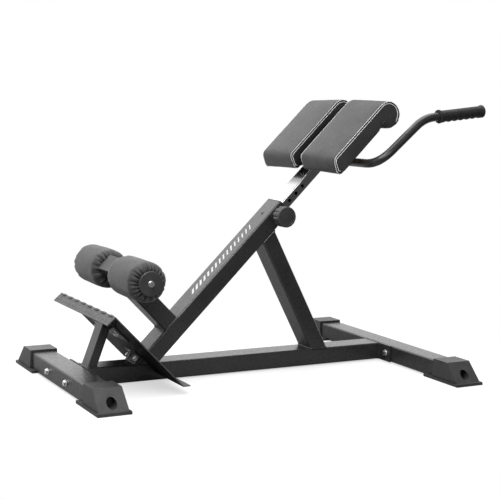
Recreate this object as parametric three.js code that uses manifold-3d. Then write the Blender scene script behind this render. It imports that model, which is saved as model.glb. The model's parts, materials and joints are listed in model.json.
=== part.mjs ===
// Roman chair (45 degree back extension bench) as an assembly of separate parts.
// Millimetres, +Z up, +X from the foot end towards the handles, Y across the bench.
// The origin is on the floor, under the middle of the whole bench.

import * as THREE from 'three';
import { ConvexGeometry } from 'three/addons/geometries/ConvexGeometry.js';
import { mergeVertices } from 'three/addons/utils/BufferGeometryUtils.js';
import Module from 'manifold-3d';

const wasm = await Module();
wasm.setup();

// ---------------------------------------------------------------- driving dimensions

const GAP = 0.3;                 // space left between neighbouring pieces
const RUNNING = 0.4;             // radial room round anything that slides or turns
const SLOPE = THREE.MathUtils.degToRad(45);

// base
const TUBE_WIDTH = 75;           // frame tube, across the bench
const TUBE_DEPTH = 50;           // frame tube, the other way
const TUBE_WALL = 2.5;
const TUBE_RADIUS = 5;           // outside corner of the frame tube
const CROSS_WIDTH = 70;          // cross tubes, front to back
const GROUND_CLEARANCE = 3;      // floor to the underside of the tubes
const REAR_CROSS_X = -4;         // rear face of the rear cross tube
const FRONT_CROSS_X = 1032;      // rear face of the front cross tube
const REAR_CROSS_HALF = 262;
const FRONT_CROSS_HALF = 356;
const FLANGE_THICK = 4.7;
const FLANGE_WIDTH = 188;
const FLANGE_BOLT_Y = 72;
const BOLT_RADIUS = 4;
const HOLE_ROOM = 0.5;           // bolt hole radius less bolt radius
const BOLT_HEAD = 8;             // height of head and washer
const AXLE_BOLT_WASHER = 8.2;

// foot caps on the cross tubes
const CAP_HEIGHT = 59;
const CAP_SOCKET = 51;           // how far a tube goes into its cap
const CAP_END_WALL = 12;         // tube's end to the top edge of the slanted face
const CAP_SLANT = 56;            // run of the end face, top edge to bottom edge
const CAP_TOP_WALL = 4.5;        // cap's flank outside the tube, at the top
const CAP_BOTTOM_WALL = 6.5;
const CAP_SOLE_RISE = 8;         // height of the rim round the sole
const CAP_SOLE_RIM = 4.5;
const CAP_SOLE_INSET = 35;       // how far the sole runs in past the socket's mouth
const CAP_TOE = 2.5;             // sole's reach past the foot of the slanted face
const CAP_RECESS_RADIUS = 14;
const CAP_RECESS_HEIGHT = 26;
const CAP_RECESS_DEPTH = 22;

// upright and what stands on it, measured along and square to its centre line
const UPRIGHT_FOOT_X = 192;      // where the centre line meets the floor
const UPRIGHT_TOP = 678;
const POST_AT = 199;
const POST_TOP = 271;
const POST_CAP_THICK = 3;
const POST_CAP_DEPTH = 15;       // plug inside the tube
const AXLE_HEIGHT = 234;
const BRACE_FOOT_X = 834;        // where the brace's centre line meets the floor
const BRACE_SLOPE = THREE.MathUtils.degToRad(118.3);

// foot plate
const PLATE_WIDTH = 408;
const PLATE_THICK = 3;
const PLATE_AT = 76;             // along the upright, middle of the sheet
const PLATE_TOP = 237;
const PLATE_BOTTOM = -43;
const PLATE_TOP_LIP = 31;
const PLATE_TOE_LIP = 20;
const NOTCH_HALF = 40;
const KICK_WIDTH = 50;
const KICK_DEPTH = 25;
const KICK_FOOT_X = 69;          // where the strut's centre line meets the floor
const KICK_SLOPE = THREE.MathUtils.degToRad(70.3);
const MOUNT_THICK = 4;           // plate between the kick strut and the foot plate
const MOUNT_HALF = 95;
const MOUNT_LOW = 112;
const MOUNT_HIGH = 178;
const MOUNT_BOLT_Y = 70;
const BRACKET_THICK = 4;         // angle at the foot plate's lower edge
const BRACKET_HALF = 37;
const BRACKET_LEG = 20;
const BRACKET_RISE = 28;
const BRACKET_BOLT_Y = 27;
const BRACKET_BOLT_IN = 12.2;    // bracket's upright face to its bolts

// rollers
const AXLE_RADIUS = 10;
const AXLE_BORE = 5.2;
const AXLE_HALF = 220;
const ROLLER_RADIUS = 54;
const ROLLER_INNER = 42;
const ROLLER_OUTER = 216;
const ROLLER_END_RADIUS = 35;
const ROLLER_ROUND = 24;
const END_DISC_RADIUS = 33;
const END_DISC_THICK = 4;

// sliding carriage
const SLIDER_WIDTH = 60;
const SLIDER_DEPTH = 30;
const SLIDER_WALL = 2;
const SLIDER_BOTTOM = 503;
const SLIDER_TOP = 996;
const HOLE_PITCH = 30;
const HOLE_RADIUS = 5.3;
const HOLES_BELOW_PIN = 2;
const HOLES_ABOVE_PIN = 4;
const SLEEVE_LENGTH = 110;

// pull pin
const PIN_AT = 645;
const PIN_RADIUS = 4.7;
const PIN_COLLAR_RADIUS = 8.4;
const PIN_COLLAR = [44.5, 47];   // along the pin, from the centre plane
const PIN_LENGTH = 56;
const PIN_REST = 30.4;           // tip of the pulled pin, from the centre plane
const HOUSING_RADIUS = 14;
const HOUSING_NOSE = 2;          // step between the barrel and its nose in the upright's wall
const HOUSING_LIP = 2;
const HOUSING_END = 60;
const HOUSING_CAP_THICK = 3;
const CHAMBER_RADIUS = 9;
const KNOB_RADIUS = 30;
const KNOB_FRONT = 92;
const KNOB_BACK = 61;
const KNOB_FACE = 8;             // plain disc in front of the flutes
const KNOB_FLUTES = 10;
const KNOB_FLUTE_DEPTH = 1.8;
const SPRING_TURNS = 4;
const SPRING_RADIUS = 6.9;
const WIRE_RADIUS = 0.7;

// pads
const PAD_TILT = THREE.MathUtils.degToRad(1.5);
const PAD_BEND_Y = 32;           // where the pad plates bend away from the slider
const PAD_PLATE_HALF = 178;
const PAD_PLATE_THICK = 4;
const PAD_PLATE_WIDTH = 40;
const PAD_PLATES_AT = [850, 965];
const PAD_INNER = 26;
const PAD_OUTER = 203;
const PAD_BOTTOM = 806;          // lower edge of the back
const PAD_LEAN = 12;             // how much further up the face starts
const PAD_CORNER = 16;
const PAD_FILLET = 6;            // where the back meets the roll
const ROLL_AT = 1041;            // centre of the rolled top edge
const ROLL_RADIUS = 41;
const ROLL_HEIGHT = 12.5;
const BOARD_THICK = 12;
const BOARD_INSET = 12;
const BOARD_END = 985;
const PAD_SCREW_Y = 120;

// handlebar
const BAR_RADIUS = 12.5;
const BAR_HALF = 246;            // centre plane to each arm
const BAR_AT = 899;
const BAR_DROP = SLIDER_DEPTH / 2 + BAR_RADIUS + GAP;
const ARM_SLOPE = THREE.MathUtils.degToRad(40.6);
const GRIP_SLOPE = THREE.MathUtils.degToRad(6.9);
const ARM_END_X = 1002;          // where arm and grip centre lines cross
const ARM_BEND = 34;
const CORNER_BEND = 62;
const GRIP_START = 50;           // from that crossing to the grip
const GRIP_LENGTH = 163;
const GRIP_END_WALL = 3;
const GRIP_RADIUS = 16.5;
const GRIP_FLANGE = 20.5;

// ---------------------------------------------------------------- materials

function finish(color, roughness, metalness) {
  return () => new THREE.MeshStandardMaterial({ color, roughness, metalness });
}

const frameBlack = finish(0x1d1e20, 0.5, 0.3);
const zincSteel = finish(0xb9bcc0, 0.3, 1);
const chrome = finish(0xd8dadd, 0.08, 1);
const hardPlastic = finish(0x18191a, 0.45, 0);
const gripRubber = finish(0x111112, 0.8, 0);
const rollerCloth = finish(0x2b2c2e, 0.85, 0);
const padVinyl = finish(0x2a2b2d, 0.55, 0);
const plywood = finish(0x8a6b47, 0.8, 0);
const treadPlate = finish(0x3a3b3d, 0.6, 0.4);

// ---------------------------------------------------------------- geometry helpers

function toSolid(geometry) {
  const bare = geometry.clone();
  bare.deleteAttribute('normal');
  bare.deleteAttribute('uv');
  const merged = mergeVertices(bare, 1e-4);
  return new wasm.Manifold(new wasm.Mesh({
    numProp: 3,
    vertProperties: new Float32Array(merged.attributes.position.array),
    triVerts: new Uint32Array(merged.index.array),
  }));
}

function toGeometry(solid) {
  const mesh = solid.getMesh();
  const geometry = new THREE.BufferGeometry();
  geometry.setAttribute('position', new THREE.BufferAttribute(new Float32Array(mesh.vertProperties), 3));
  geometry.setIndex(new THREE.BufferAttribute(new Uint32Array(mesh.triVerts), 1));
  geometry.computeVertexNormals();
  return geometry;
}

function cut(geometry, cutters) {
  return toGeometry(cutters.reduce((solid, cutter) => solid.subtract(toSolid(cutter)), toSolid(geometry)));
}

function join(geometries) {
  return toGeometry(geometries.map(toSolid).reduce((whole, piece) => whole.add(piece)));
}

function block(from, to) {
  const size = to.map((value, axis) => value - from[axis]);
  const middle = to.map((value, axis) => (value + from[axis]) / 2);
  return new THREE.BoxGeometry(...size).translate(...middle);
}

function rod(radius, from, to, segments = 24) {
  return new THREE.CylinderGeometry(radius, radius, to - from, segments).translate(0, (from + to) / 2, 0);
}

function roundedRectangle(width, height, radius) {
  const x = width / 2;
  const y = height / 2;
  const shape = new THREE.Shape();
  shape.moveTo(-x + radius, -y);
  shape.lineTo(x - radius, -y);
  shape.absarc(x - radius, -y + radius, radius, -Math.PI / 2, 0);
  shape.lineTo(x, y - radius);
  shape.absarc(x - radius, y - radius, radius, 0, Math.PI / 2);
  shape.lineTo(-x + radius, y);
  shape.absarc(-x + radius, y - radius, radius, Math.PI / 2, Math.PI);
  shape.lineTo(-x, -y + radius);
  shape.absarc(-x + radius, -y + radius, radius, Math.PI, Math.PI * 1.5);
  return shape;
}

// Turns an extrusion of (y, z) outlines to run along X.
const ALONG_X = new THREE.Matrix4().makeBasis(
  new THREE.Vector3(0, 1, 0), new THREE.Vector3(0, 0, 1), new THREE.Vector3(1, 0, 0));
// Turns an extrusion of (x, z) outlines to run along -Y.
const ALONG_Y = new THREE.Matrix4().makeBasis(
  new THREE.Vector3(1, 0, 0), new THREE.Vector3(0, 0, 1), new THREE.Vector3(0, -1, 0));

function extrude(shape, depth, curveSegments = 3) {
  return new THREE.ExtrudeGeometry(shape, { depth, bevelEnabled: false, curveSegments });
}

// A rectangular tube along X, or a solid bar when there is no wall.
function tubeAlongX(width, depth, wall, radius, from, to) {
  const shape = roundedRectangle(width, depth, radius);
  if (wall > 0) {
    shape.holes.push(roundedRectangle(width - 2 * wall, depth - 2 * wall, Math.max(radius - wall, 1)));
  }
  return extrude(shape, to - from).applyMatrix4(ALONG_X).translate(from, 0, 0);
}

// An outline in (x, z) given a width across Y, centred on `middle`.
function acrossY(shape, width, middle = 0, curveSegments = 8) {
  return extrude(shape, width, curveSegments).applyMatrix4(ALONG_Y).translate(0, middle + width / 2, 0);
}

// The outline of a bent sheet: a line of points, thickened to its left.
function sheetShape(line, thickness) {
  const points = line.map(([x, y]) => new THREE.Vector2(x, y));
  const normals = points.slice(1).map((point, index) => {
    const along = point.clone().sub(points[index]).normalize();
    return new THREE.Vector2(-along.y, along.x);
  });
  const offset = points.map((point, index) => {
    const before = normals[Math.max(index - 1, 0)];
    const after = normals[Math.min(index, normals.length - 1)];
    const mitre = before.clone().add(after);
    return point.clone().addScaledVector(mitre, thickness / (1 + before.dot(after)));
  });
  return new THREE.Shape([...points, ...offset.reverse()]);
}

function lathe(profile, segments = 32) {
  return new THREE.LatheGeometry(profile.map(([r, y]) => new THREE.Vector2(r, y)), segments);
}

// Cuts a piece with solids that are given in the bench's own frame.
function cutInBenchFrame(geometry, frame, cutters) {
  bench.updateMatrixWorld(true);
  const local = frame.matrixWorld.clone().invert().multiply(bench.matrixWorld);
  return cut(geometry, cutters.map((cutter) => cutter.clone().applyMatrix4(local)));
}

// ---------------------------------------------------------------- groups

const bench = new THREE.Group();

// The upright's frame: X up its centre line, Y across, Z square out of its top face.
const incline = new THREE.Group();
incline.position.x = UPRIGHT_FOOT_X;
incline.rotation.y = -SLOPE;
bench.add(incline);

function piece(name, geometry, material, parent = bench) {
  const mesh = new THREE.Mesh(geometry, material());
  mesh.name = name;
  parent.add(mesh);
  return mesh;
}

// ---------------------------------------------------------------- fasteners

// A washer-head hex bolt on the Y axis, head above y = 0 and shank below it.
function hexBolt(radius, length, washerRadius = radius * 2.3) {
  const washer = rod(washerRadius, 0, 2, 20);
  const head = rod(radius * 1.9, 1.5, BOLT_HEAD, 6);
  const shank = rod(radius, -length, 1, 16);
  return join([washer, head, shank]);
}

function hexNut(radius) {
  const washer = rod(radius * 2.3, 0, 2, 20);
  const nut = rod(radius * 1.9, 1.5, 8, 6);
  return cut(join([washer, nut]), [rod(radius + GAP, -1, 9, 16)]);
}

// Places a piece made on the Y axis so that its +Y points along `axis`.
function aim(mesh, position, axis) {
  mesh.position.set(...position);
  mesh.quaternion.setFromUnitVectors(new THREE.Vector3(0, 1, 0), new THREE.Vector3(...axis).normalize());
}

// ---------------------------------------------------------------- base

const tubeBottom = GROUND_CLEARANCE;
const tubeTop = GROUND_CLEARANCE + TUBE_DEPTH;
const tubeMiddle = (tubeBottom + tubeTop) / 2;
const boltHole = BOLT_RADIUS + HOLE_ROOM;
function crossTube(name, rearX, halfLength) {
  const tube = tubeAlongX(CROSS_WIDTH, TUBE_DEPTH, TUBE_WALL, TUBE_RADIUS, -halfLength, halfLength);
  const holes = [-1, 1].map((side) => rod(boltHole, -CROSS_WIDTH, CROSS_WIDTH, 16)
    .translate(side * FLANGE_BOLT_Y, 0, 0));
  const mesh = piece(name, cut(tube, holes), frameBlack);
  mesh.rotation.z = Math.PI / 2;
  mesh.position.set(rearX + CROSS_WIDTH / 2, 0, tubeMiddle);
}

function flange(name, rearX) {
  const plate = block([0, -FLANGE_WIDTH / 2, tubeBottom], [FLANGE_THICK, FLANGE_WIDTH / 2, tubeTop]);
  const holes = [-1, 1].map((side) => rod(boltHole, -10, 20, 16)
    .rotateZ(-Math.PI / 2)
    .translate(0, side * FLANGE_BOLT_Y, tubeMiddle));
  piece(name, cut(plate, holes), frameBlack).position.x = rearX;
}

const rearFlangeX = REAR_CROSS_X + CROSS_WIDTH + GAP;
const frontFlangeX = FRONT_CROSS_X - GAP - FLANGE_THICK;

crossTube('rear_cross_tube', REAR_CROSS_X, REAR_CROSS_HALF);
crossTube('front_cross_tube', FRONT_CROSS_X, FRONT_CROSS_HALF);
flange('rear_flange', rearFlangeX);
flange('front_flange', frontFlangeX);

const railStart = rearFlangeX + FLANGE_THICK + GAP;
const railEnd = frontFlangeX - GAP;
const rail = tubeAlongX(TUBE_WIDTH, TUBE_DEPTH, TUBE_WALL, TUBE_RADIUS, railStart, railEnd);
piece('main_rail', rail, frameBlack).position.z = tubeMiddle;

function flangeBolts(end, headX, nutX) {
  const toHead = Math.sign(headX - nutX);
  const grip = Math.abs(headX - nutX);
  for (const [side, sign] of [['right', -1], ['left', 1]]) {
    const y = sign * FLANGE_BOLT_Y;
    aim(piece(`${end}_bolt_${side}`, hexBolt(BOLT_RADIUS, grip + 12), zincSteel),
      [headX + toHead * GAP, y, tubeMiddle], [toHead, 0, 0]);
    aim(piece(`${end}_nut_${side}`, hexNut(BOLT_RADIUS), zincSteel),
      [nutX - toHead * GAP, y, tubeMiddle], [-toHead, 0, 0]);
  }
}

flangeBolts('rear', REAR_CROSS_X, rearFlangeX + FLANGE_THICK);
flangeBolts('front', frontFlangeX, FRONT_CROSS_X + CROSS_WIDTH);

// A foot cap for the +Y end of a cross tube, centred on the tube in X.
function footCapGeometry(tubeEnd) {
  const mouth = tubeEnd - CAP_SOCKET;
  const topEnd = tubeEnd + CAP_END_WALL;
  const slantFoot = topEnd + CAP_SLANT - CAP_TOE;
  const halfTop = CROSS_WIDTH / 2 + CAP_TOP_WALL;
  const halfBottom = CROSS_WIDTH / 2 + CAP_BOTTOM_WALL;
  const halfSole = halfBottom + CAP_SOLE_RIM;
  const corners = (half, near, far, z) => [[-half, near], [half, near], [half, far], [-half, far]]
    .map(([x, y]) => new THREE.Vector3(x, y, z));
  const body = new ConvexGeometry([
    ...corners(halfBottom, mouth, slantFoot, 2),
    ...corners(halfTop, mouth, topEnd, CAP_HEIGHT),
  ]);
  const sole = new ConvexGeometry([
    ...corners(halfSole, mouth - CAP_SOLE_INSET, slantFoot + CAP_TOE, 0),
    ...corners(halfSole, mouth - CAP_SOLE_INSET, slantFoot + CAP_TOE / 2, CAP_SOLE_RISE),
  ]);
  const socket = block(
    [-CROSS_WIDTH / 2 - GAP, mouth - 2 * CAP_SOLE_INSET, tubeBottom - GAP],
    [CROSS_WIDTH / 2 + GAP, tubeEnd + GAP, tubeTop + GAP]);
  const faceMiddle = (topEnd + slantFoot) / 2;
  const recess = rod(CAP_RECESS_RADIUS, faceMiddle - CAP_RECESS_DEPTH, slantFoot + CAP_TOE + 1, 24)
    .translate(0, 0, CAP_RECESS_HEIGHT);
  return cut(join([body, sole]), [socket, recess]);
}

function footCaps(end, rearX, tubeEnd) {
  for (const [side, turn] of [['left', 0], ['right', Math.PI]]) {
    const cap = piece(`${end}_foot_${side}`, footCapGeometry(tubeEnd), hardPlastic);
    cap.position.x = rearX + CROSS_WIDTH / 2;
    cap.rotation.z = turn;
  }
}

footCaps('rear', REAR_CROSS_X, REAR_CROSS_HALF);
footCaps('front', FRONT_CROSS_X, FRONT_CROSS_HALF);

// ---------------------------------------------------------------- upright, post and brace

const halfDepth = TUBE_DEPTH / 2;
const halfWidth = TUBE_WIDTH / 2;
const belowRailTop = block([-500, -200, -500], [2000, 200, tubeTop + GAP]);

const pinHole = rod(HOUSING_RADIUS - HOUSING_NOSE, -halfWidth - 5, -halfWidth + 5, 24)
  .translate(PIN_AT, 0, 0);
const uprightBlank = tubeAlongX(TUBE_WIDTH, TUBE_DEPTH, TUBE_WALL, TUBE_RADIUS, 20, UPRIGHT_TOP);
piece('upright_tube',
  cutInBenchFrame(cut(uprightBlank, [pinHole]), incline, [belowRailTop]), frameBlack, incline);

// The roller post stands square on the upright, so its tube runs along the incline's Z.
const postFrame = new THREE.Group();
postFrame.position.x = POST_AT;
postFrame.rotation.y = -Math.PI / 2;
incline.add(postFrame);

const postEnd = POST_TOP - POST_CAP_THICK;
const axleHole = rod(AXLE_RADIUS + GAP, -halfWidth - 5, halfWidth + 5, 32).translate(AXLE_HEIGHT, 0, 0);
piece('roller_post',
  cut(tubeAlongX(TUBE_WIDTH, TUBE_DEPTH, TUBE_WALL, TUBE_RADIUS, halfDepth + GAP, postEnd), [axleHole]),
  frameBlack, postFrame);

const plugWidth = TUBE_WIDTH - 2 * TUBE_WALL - 1;
const plugDepth = TUBE_DEPTH - 2 * TUBE_WALL - 1;
piece('post_cap', join([
  tubeAlongX(TUBE_WIDTH - 1, TUBE_DEPTH - 1, 0, TUBE_RADIUS, postEnd + GAP, POST_TOP),
  tubeAlongX(plugWidth, plugDepth, 0, 2, postEnd - POST_CAP_DEPTH, postEnd + 1),
]), hardPlastic, postFrame);

const brace = new THREE.Group();
brace.position.x = BRACE_FOOT_X;
brace.rotation.y = -BRACE_SLOPE;
bench.add(brace);

bench.updateMatrixWorld(true);
const uprightEnvelope = block([0, -200, -halfDepth - GAP], [1500, 200, 500])
  .applyMatrix4(incline.matrixWorld);
const braceBlank = tubeAlongX(TUBE_WIDTH, TUBE_DEPTH, TUBE_WALL, TUBE_RADIUS, 0, 700);
piece('brace_tube',
  cutInBenchFrame(braceBlank, brace, [belowRailTop, uprightEnvelope]), frameBlack, brace);

// ---------------------------------------------------------------- foot plate and its supports

const plateUnder = PLATE_AT - PLATE_THICK / 2;
const plateOver = PLATE_AT + PLATE_THICK / 2;

const mountBoltAt = (MOUNT_LOW + MOUNT_HIGH) / 2;
const bracketTop = halfDepth + GAP + BRACKET_THICK;
const bracketFace = plateUnder - GAP;
const bracketBoltAt = bracketFace - BRACKET_BOLT_IN;

// A sheet that stands square to the upright, its top edge folded back and its toe edge folded forward.
function footPlate() {
  const toe = PLATE_TOE_LIP * Math.SQRT1_2;
  const profile = sheetShape([
    [plateOver - PLATE_TOP_LIP, PLATE_TOP + 2],
    [plateOver, PLATE_TOP],
    [plateOver, PLATE_BOTTOM],
    [plateOver + toe, PLATE_BOTTOM - toe],
  ], -PLATE_THICK);
  const notch = block([-500, -NOTCH_HALF, -500], [500, NOTCH_HALF, halfDepth + 1]);
  const boltHoles = [-1, 1].map((side) => crossHole(side * MOUNT_BOLT_Y, mountBoltAt));
  return cut(acrossY(profile, PLATE_WIDTH), [notch, ...boltHoles]);
}

// A bolt hole along the upright's direction at the given place on the foot plate.
function crossHole(y, z) {
  return rod(boltHole, 0, 150, 16).rotateZ(-Math.PI / 2).translate(0, y, z);
}

piece('foot_plate', footPlate(), treadPlate, incline);

const mountPlate = block(
  [plateUnder - GAP - MOUNT_THICK, -MOUNT_HALF, MOUNT_LOW],
  [plateUnder - GAP, MOUNT_HALF, MOUNT_HIGH]);
piece('foot_mount_plate', cut(mountPlate,
  [-1, 1].map((side) => crossHole(side * MOUNT_BOLT_Y, mountBoltAt))), frameBlack, incline);

for (const [side, sign] of [['right', -1], ['left', 1]]) {
  const y = sign * MOUNT_BOLT_Y;
  const underside = plateUnder - 2 * GAP - MOUNT_THICK;
  aim(piece(`mount_bolt_${side}`, hexBolt(BOLT_RADIUS, 18), zincSteel, incline),
    [plateOver + GAP, y, mountBoltAt], [1, 0, 0]);
  aim(piece(`mount_nut_${side}`, hexNut(BOLT_RADIUS), zincSteel, incline),
    [underside, y, mountBoltAt], [-1, 0, 0]);
}

// The angle bracket that holds the plate's lower edge on the upright's top face.
const bracketShape = sheetShape([
  [bracketFace - BRACKET_LEG, halfDepth + GAP],
  [bracketFace, halfDepth + GAP],
  [bracketFace, halfDepth + GAP + BRACKET_RISE],
], BRACKET_THICK);
const bracketHoles = [-1, 1].map((side) => rod(boltHole, -20, 20, 16)
  .rotateX(Math.PI / 2).translate(bracketBoltAt, side * BRACKET_BOLT_Y, bracketTop));
piece('heel_bracket', cut(acrossY(bracketShape, 2 * BRACKET_HALF), bracketHoles), frameBlack, incline);

for (const [side, sign] of [['right', -1], ['left', 1]]) {
  aim(piece(`heel_bolt_${side}`, hexBolt(BOLT_RADIUS * 0.85, 4), zincSteel, incline),
    [bracketBoltAt, sign * BRACKET_BOLT_Y, bracketTop + GAP], [0, 0, 1]);
}

const kick = new THREE.Group();
kick.position.x = KICK_FOOT_X;
kick.rotation.y = -KICK_SLOPE;
bench.add(kick);

bench.updateMatrixWorld(true);
const mountEnvelope = block([plateUnder - 2 * GAP - MOUNT_THICK, -200, -500], [1500, 200, 500])
  .applyMatrix4(incline.matrixWorld);
const kickBlank = tubeAlongX(KICK_WIDTH, KICK_DEPTH, 2, 3, 0, 320);
piece('kick_strut', cutInBenchFrame(kickBlank, kick, [belowRailTop, mountEnvelope]), frameBlack, kick);

// ---------------------------------------------------------------- rollers

const axle = new THREE.Group();
axle.position.set(POST_AT, 0, AXLE_HEIGHT);
incline.add(axle);

piece('roller_axle', lathe([
  [AXLE_BORE, -AXLE_HALF], [AXLE_RADIUS, -AXLE_HALF],
  [AXLE_RADIUS, AXLE_HALF], [AXLE_BORE, AXLE_HALF], [AXLE_BORE, -AXLE_HALF],
], 32), zincSteel, axle);

// The outline of a quarter-ellipse shoulder between the roller's side and its end face.
function shoulder(endY, direction) {
  const steps = 4;
  return Array.from({ length: steps + 1 }, (_, index) => {
    const angle = (index / steps) * Math.PI / 2;
    return [
      ROLLER_END_RADIUS + (ROLLER_RADIUS - ROLLER_END_RADIUS) * Math.sin(angle),
      endY + direction * ROLLER_ROUND * (1 - Math.cos(angle)),
    ];
  });
}

function foamRoller() {
  const bore = AXLE_RADIUS + RUNNING + 0.4;
  return lathe([
    [bore, ROLLER_INNER], ...shoulder(ROLLER_INNER, 1),
    ...shoulder(ROLLER_OUTER, -1).reverse(), [bore, ROLLER_OUTER], [bore, ROLLER_INNER],
  ], 24);
}

for (const [side, turn] of [['left', 0], ['right', Math.PI]]) {
  const half = new THREE.Group();
  half.rotation.z = turn;
  axle.add(half);
  const discInner = AXLE_HALF + GAP;
  const discOuter = discInner + END_DISC_THICK;
  piece(`foam_roller_${side}`, foamRoller(), rollerCloth, half);
  piece(`end_disc_${side}`, lathe([
    [BOLT_RADIUS + 1.2, discInner], [END_DISC_RADIUS, discInner], [END_DISC_RADIUS, discOuter - 1.5],
    [END_DISC_RADIUS - 1.5, discOuter], [BOLT_RADIUS + 1.2, discOuter], [BOLT_RADIUS + 1.2, discInner],
  ], 32), hardPlastic, half);
  aim(piece(`axle_bolt_${side}`, hexBolt(BOLT_RADIUS, 24, AXLE_BOLT_WASHER), zincSteel, half),
    [0, discOuter + GAP, 0], [0, 1, 0]);
}

// ---------------------------------------------------------------- slider and its sleeve

const sliderBlank = tubeAlongX(SLIDER_WIDTH, SLIDER_DEPTH, SLIDER_WALL, 4, SLIDER_BOTTOM, SLIDER_TOP);
const sliderHoles = [];
for (let step = -HOLES_BELOW_PIN; step <= HOLES_ABOVE_PIN; step += 1) {
  sliderHoles.push(rod(HOLE_RADIUS, -SLIDER_WIDTH, -SLIDER_WIDTH / 4, 20)
    .translate(PIN_AT + step * HOLE_PITCH, 0, 0));
}
piece('slider_tube', cut(sliderBlank, sliderHoles), chrome, incline);

piece('slider_plug', join([
  tubeAlongX(SLIDER_WIDTH - 1, SLIDER_DEPTH - 1, 0, 4, SLIDER_TOP + GAP, SLIDER_TOP + 3),
  tubeAlongX(SLIDER_WIDTH - 2 * SLIDER_WALL - 1, SLIDER_DEPTH - 2 * SLIDER_WALL - 1, 0, 1,
    SLIDER_TOP - 15, SLIDER_TOP + 1),
]), hardPlastic, incline);

function uprightSleeve() {
  const collar = tubeAlongX(TUBE_WIDTH, TUBE_DEPTH, 0, TUBE_RADIUS, UPRIGHT_TOP + GAP, UPRIGHT_TOP + 3);
  const liner = tubeAlongX(TUBE_WIDTH - 2 * TUBE_WALL - 0.6, TUBE_DEPTH - 2 * TUBE_WALL - 0.6, 0, 2,
    UPRIGHT_TOP - SLEEVE_LENGTH, UPRIGHT_TOP + 1);
  const bore = tubeAlongX(SLIDER_WIDTH + 2 * RUNNING, SLIDER_DEPTH + 2 * RUNNING, 0, 4,
    UPRIGHT_TOP - SLEEVE_LENGTH - 5, UPRIGHT_TOP + 10);
  const pinPassage = rod(HOUSING_RADIUS - HOUSING_NOSE, -halfWidth - 5, -SLIDER_WIDTH / 2 + 2, 24)
    .translate(PIN_AT, 0, 0);
  return cut(join([collar, liner]), [bore, pinPassage]);
}
piece('upright_sleeve', uprightSleeve(), hardPlastic, incline);

// ---------------------------------------------------------------- pull pin

// Everything here is turned about an axis that points out of the upright's right face.
const pull = new THREE.Group();
pull.position.x = PIN_AT;
pull.rotation.z = Math.PI;
incline.add(pull);

const housingInner = halfWidth - TUBE_WALL;
const noseRadius = HOUSING_RADIUS - HOUSING_NOSE;
const chamberEnd = HOUSING_END - HOUSING_CAP_THICK;
const pinBore = PIN_RADIUS + RUNNING;

// A stepped barrel: its nose fills the hole in the upright's wall, its skirt sits on the face.
piece('pin_housing', lathe([
  [pinBore + 4.5, housingInner], [noseRadius - GAP, housingInner],
  [noseRadius - GAP, halfWidth + GAP], [HOUSING_RADIUS, halfWidth + GAP],
  [HOUSING_RADIUS, chamberEnd - GAP], [CHAMBER_RADIUS, chamberEnd - GAP],
  [CHAMBER_RADIUS, housingInner + HOUSING_LIP], [pinBore + 4.5, housingInner],
], 28), zincSteel, pull);

piece('housing_cap', lathe([
  [pinBore, chamberEnd], [HOUSING_RADIUS, chamberEnd], [HOUSING_RADIUS, HOUSING_END - 1],
  [HOUSING_RADIUS - 1, HOUSING_END], [pinBore, HOUSING_END], [pinBore, chamberEnd],
], 28), zincSteel, pull);

const [collarStart, collarEnd] = PIN_COLLAR;
piece('pull_pin', lathe([
  [0, PIN_REST], [PIN_RADIUS - 1, PIN_REST], [PIN_RADIUS, PIN_REST + 2], [PIN_RADIUS, collarStart],
  [PIN_COLLAR_RADIUS, collarStart], [PIN_COLLAR_RADIUS, collarEnd], [PIN_RADIUS, collarEnd],
  [PIN_RADIUS, PIN_REST + PIN_LENGTH], [0, PIN_REST + PIN_LENGTH],
], 24), zincSteel, pull);

// The spring, closed up between the pin's collar and the housing's cap.
class Helix extends THREE.Curve {
  constructor(radius, turns, from, to) {
    super();
    Object.assign(this, { radius, turns, from, to });
  }

  getPoint(t, target = new THREE.Vector3()) {
    const angle = t * this.turns * 2 * Math.PI;
    const y = THREE.MathUtils.lerp(this.from, this.to, t);
    return target.set(this.radius * Math.cos(angle), y, this.radius * Math.sin(angle));
  }
}

const wire = new THREE.Shape().absarc(0, 0, WIRE_RADIUS, 0, 2 * Math.PI);
const coilEnds = [collarEnd + WIRE_RADIUS + GAP, chamberEnd - WIRE_RADIUS - GAP];
const coil = new Helix(SPRING_RADIUS, SPRING_TURNS, ...coilEnds);
piece('pull_spring', new THREE.ExtrudeGeometry(wire, {
  extrudePath: coil, steps: SPRING_TURNS * 10, curveSegments: 3, bevelEnabled: false,
}), zincSteel, pull);

// A round knob with shallow finger flutes and a hollow back that clears the housing.
function knobGeometry() {
  const steps = 40;
  const outline = Array.from({ length: steps }, (_, index) => {
    const angle = (index / steps) * 2 * Math.PI;
    const radius = KNOB_RADIUS - KNOB_FLUTE_DEPTH * Math.max(0, Math.cos(KNOB_FLUTES * angle));
    return new THREE.Vector2(radius * Math.cos(angle), radius * Math.sin(angle));
  });
  const faceBack = KNOB_FRONT - KNOB_FACE;
  const grip = extrude(new THREE.Shape(outline), faceBack - KNOB_BACK + 1)
    .rotateX(-Math.PI / 2).translate(0, KNOB_BACK, 0);
  const face = lathe([
    [0, faceBack], [KNOB_RADIUS, faceBack], [KNOB_RADIUS, KNOB_FRONT - 3],
    [KNOB_RADIUS - 3, KNOB_FRONT], [0, KNOB_FRONT],
  ], 36);
  const hollow = rod(HOUSING_RADIUS + 2, KNOB_BACK - 5, HOUSING_END + 12, 28);
  const pinSocket = rod(PIN_RADIUS + 0.2, KNOB_BACK, PIN_REST + PIN_LENGTH + GAP, 24);
  return cut(join([grip, face]), [hollow, pinSocket]);
}
piece('pull_knob', knobGeometry(), hardPlastic, pull);

// ---------------------------------------------------------------- pads

const sliderTopFace = SLIDER_DEPTH / 2;
const plateTop = sliderTopFace + GAP + PAD_PLATE_THICK;

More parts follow.
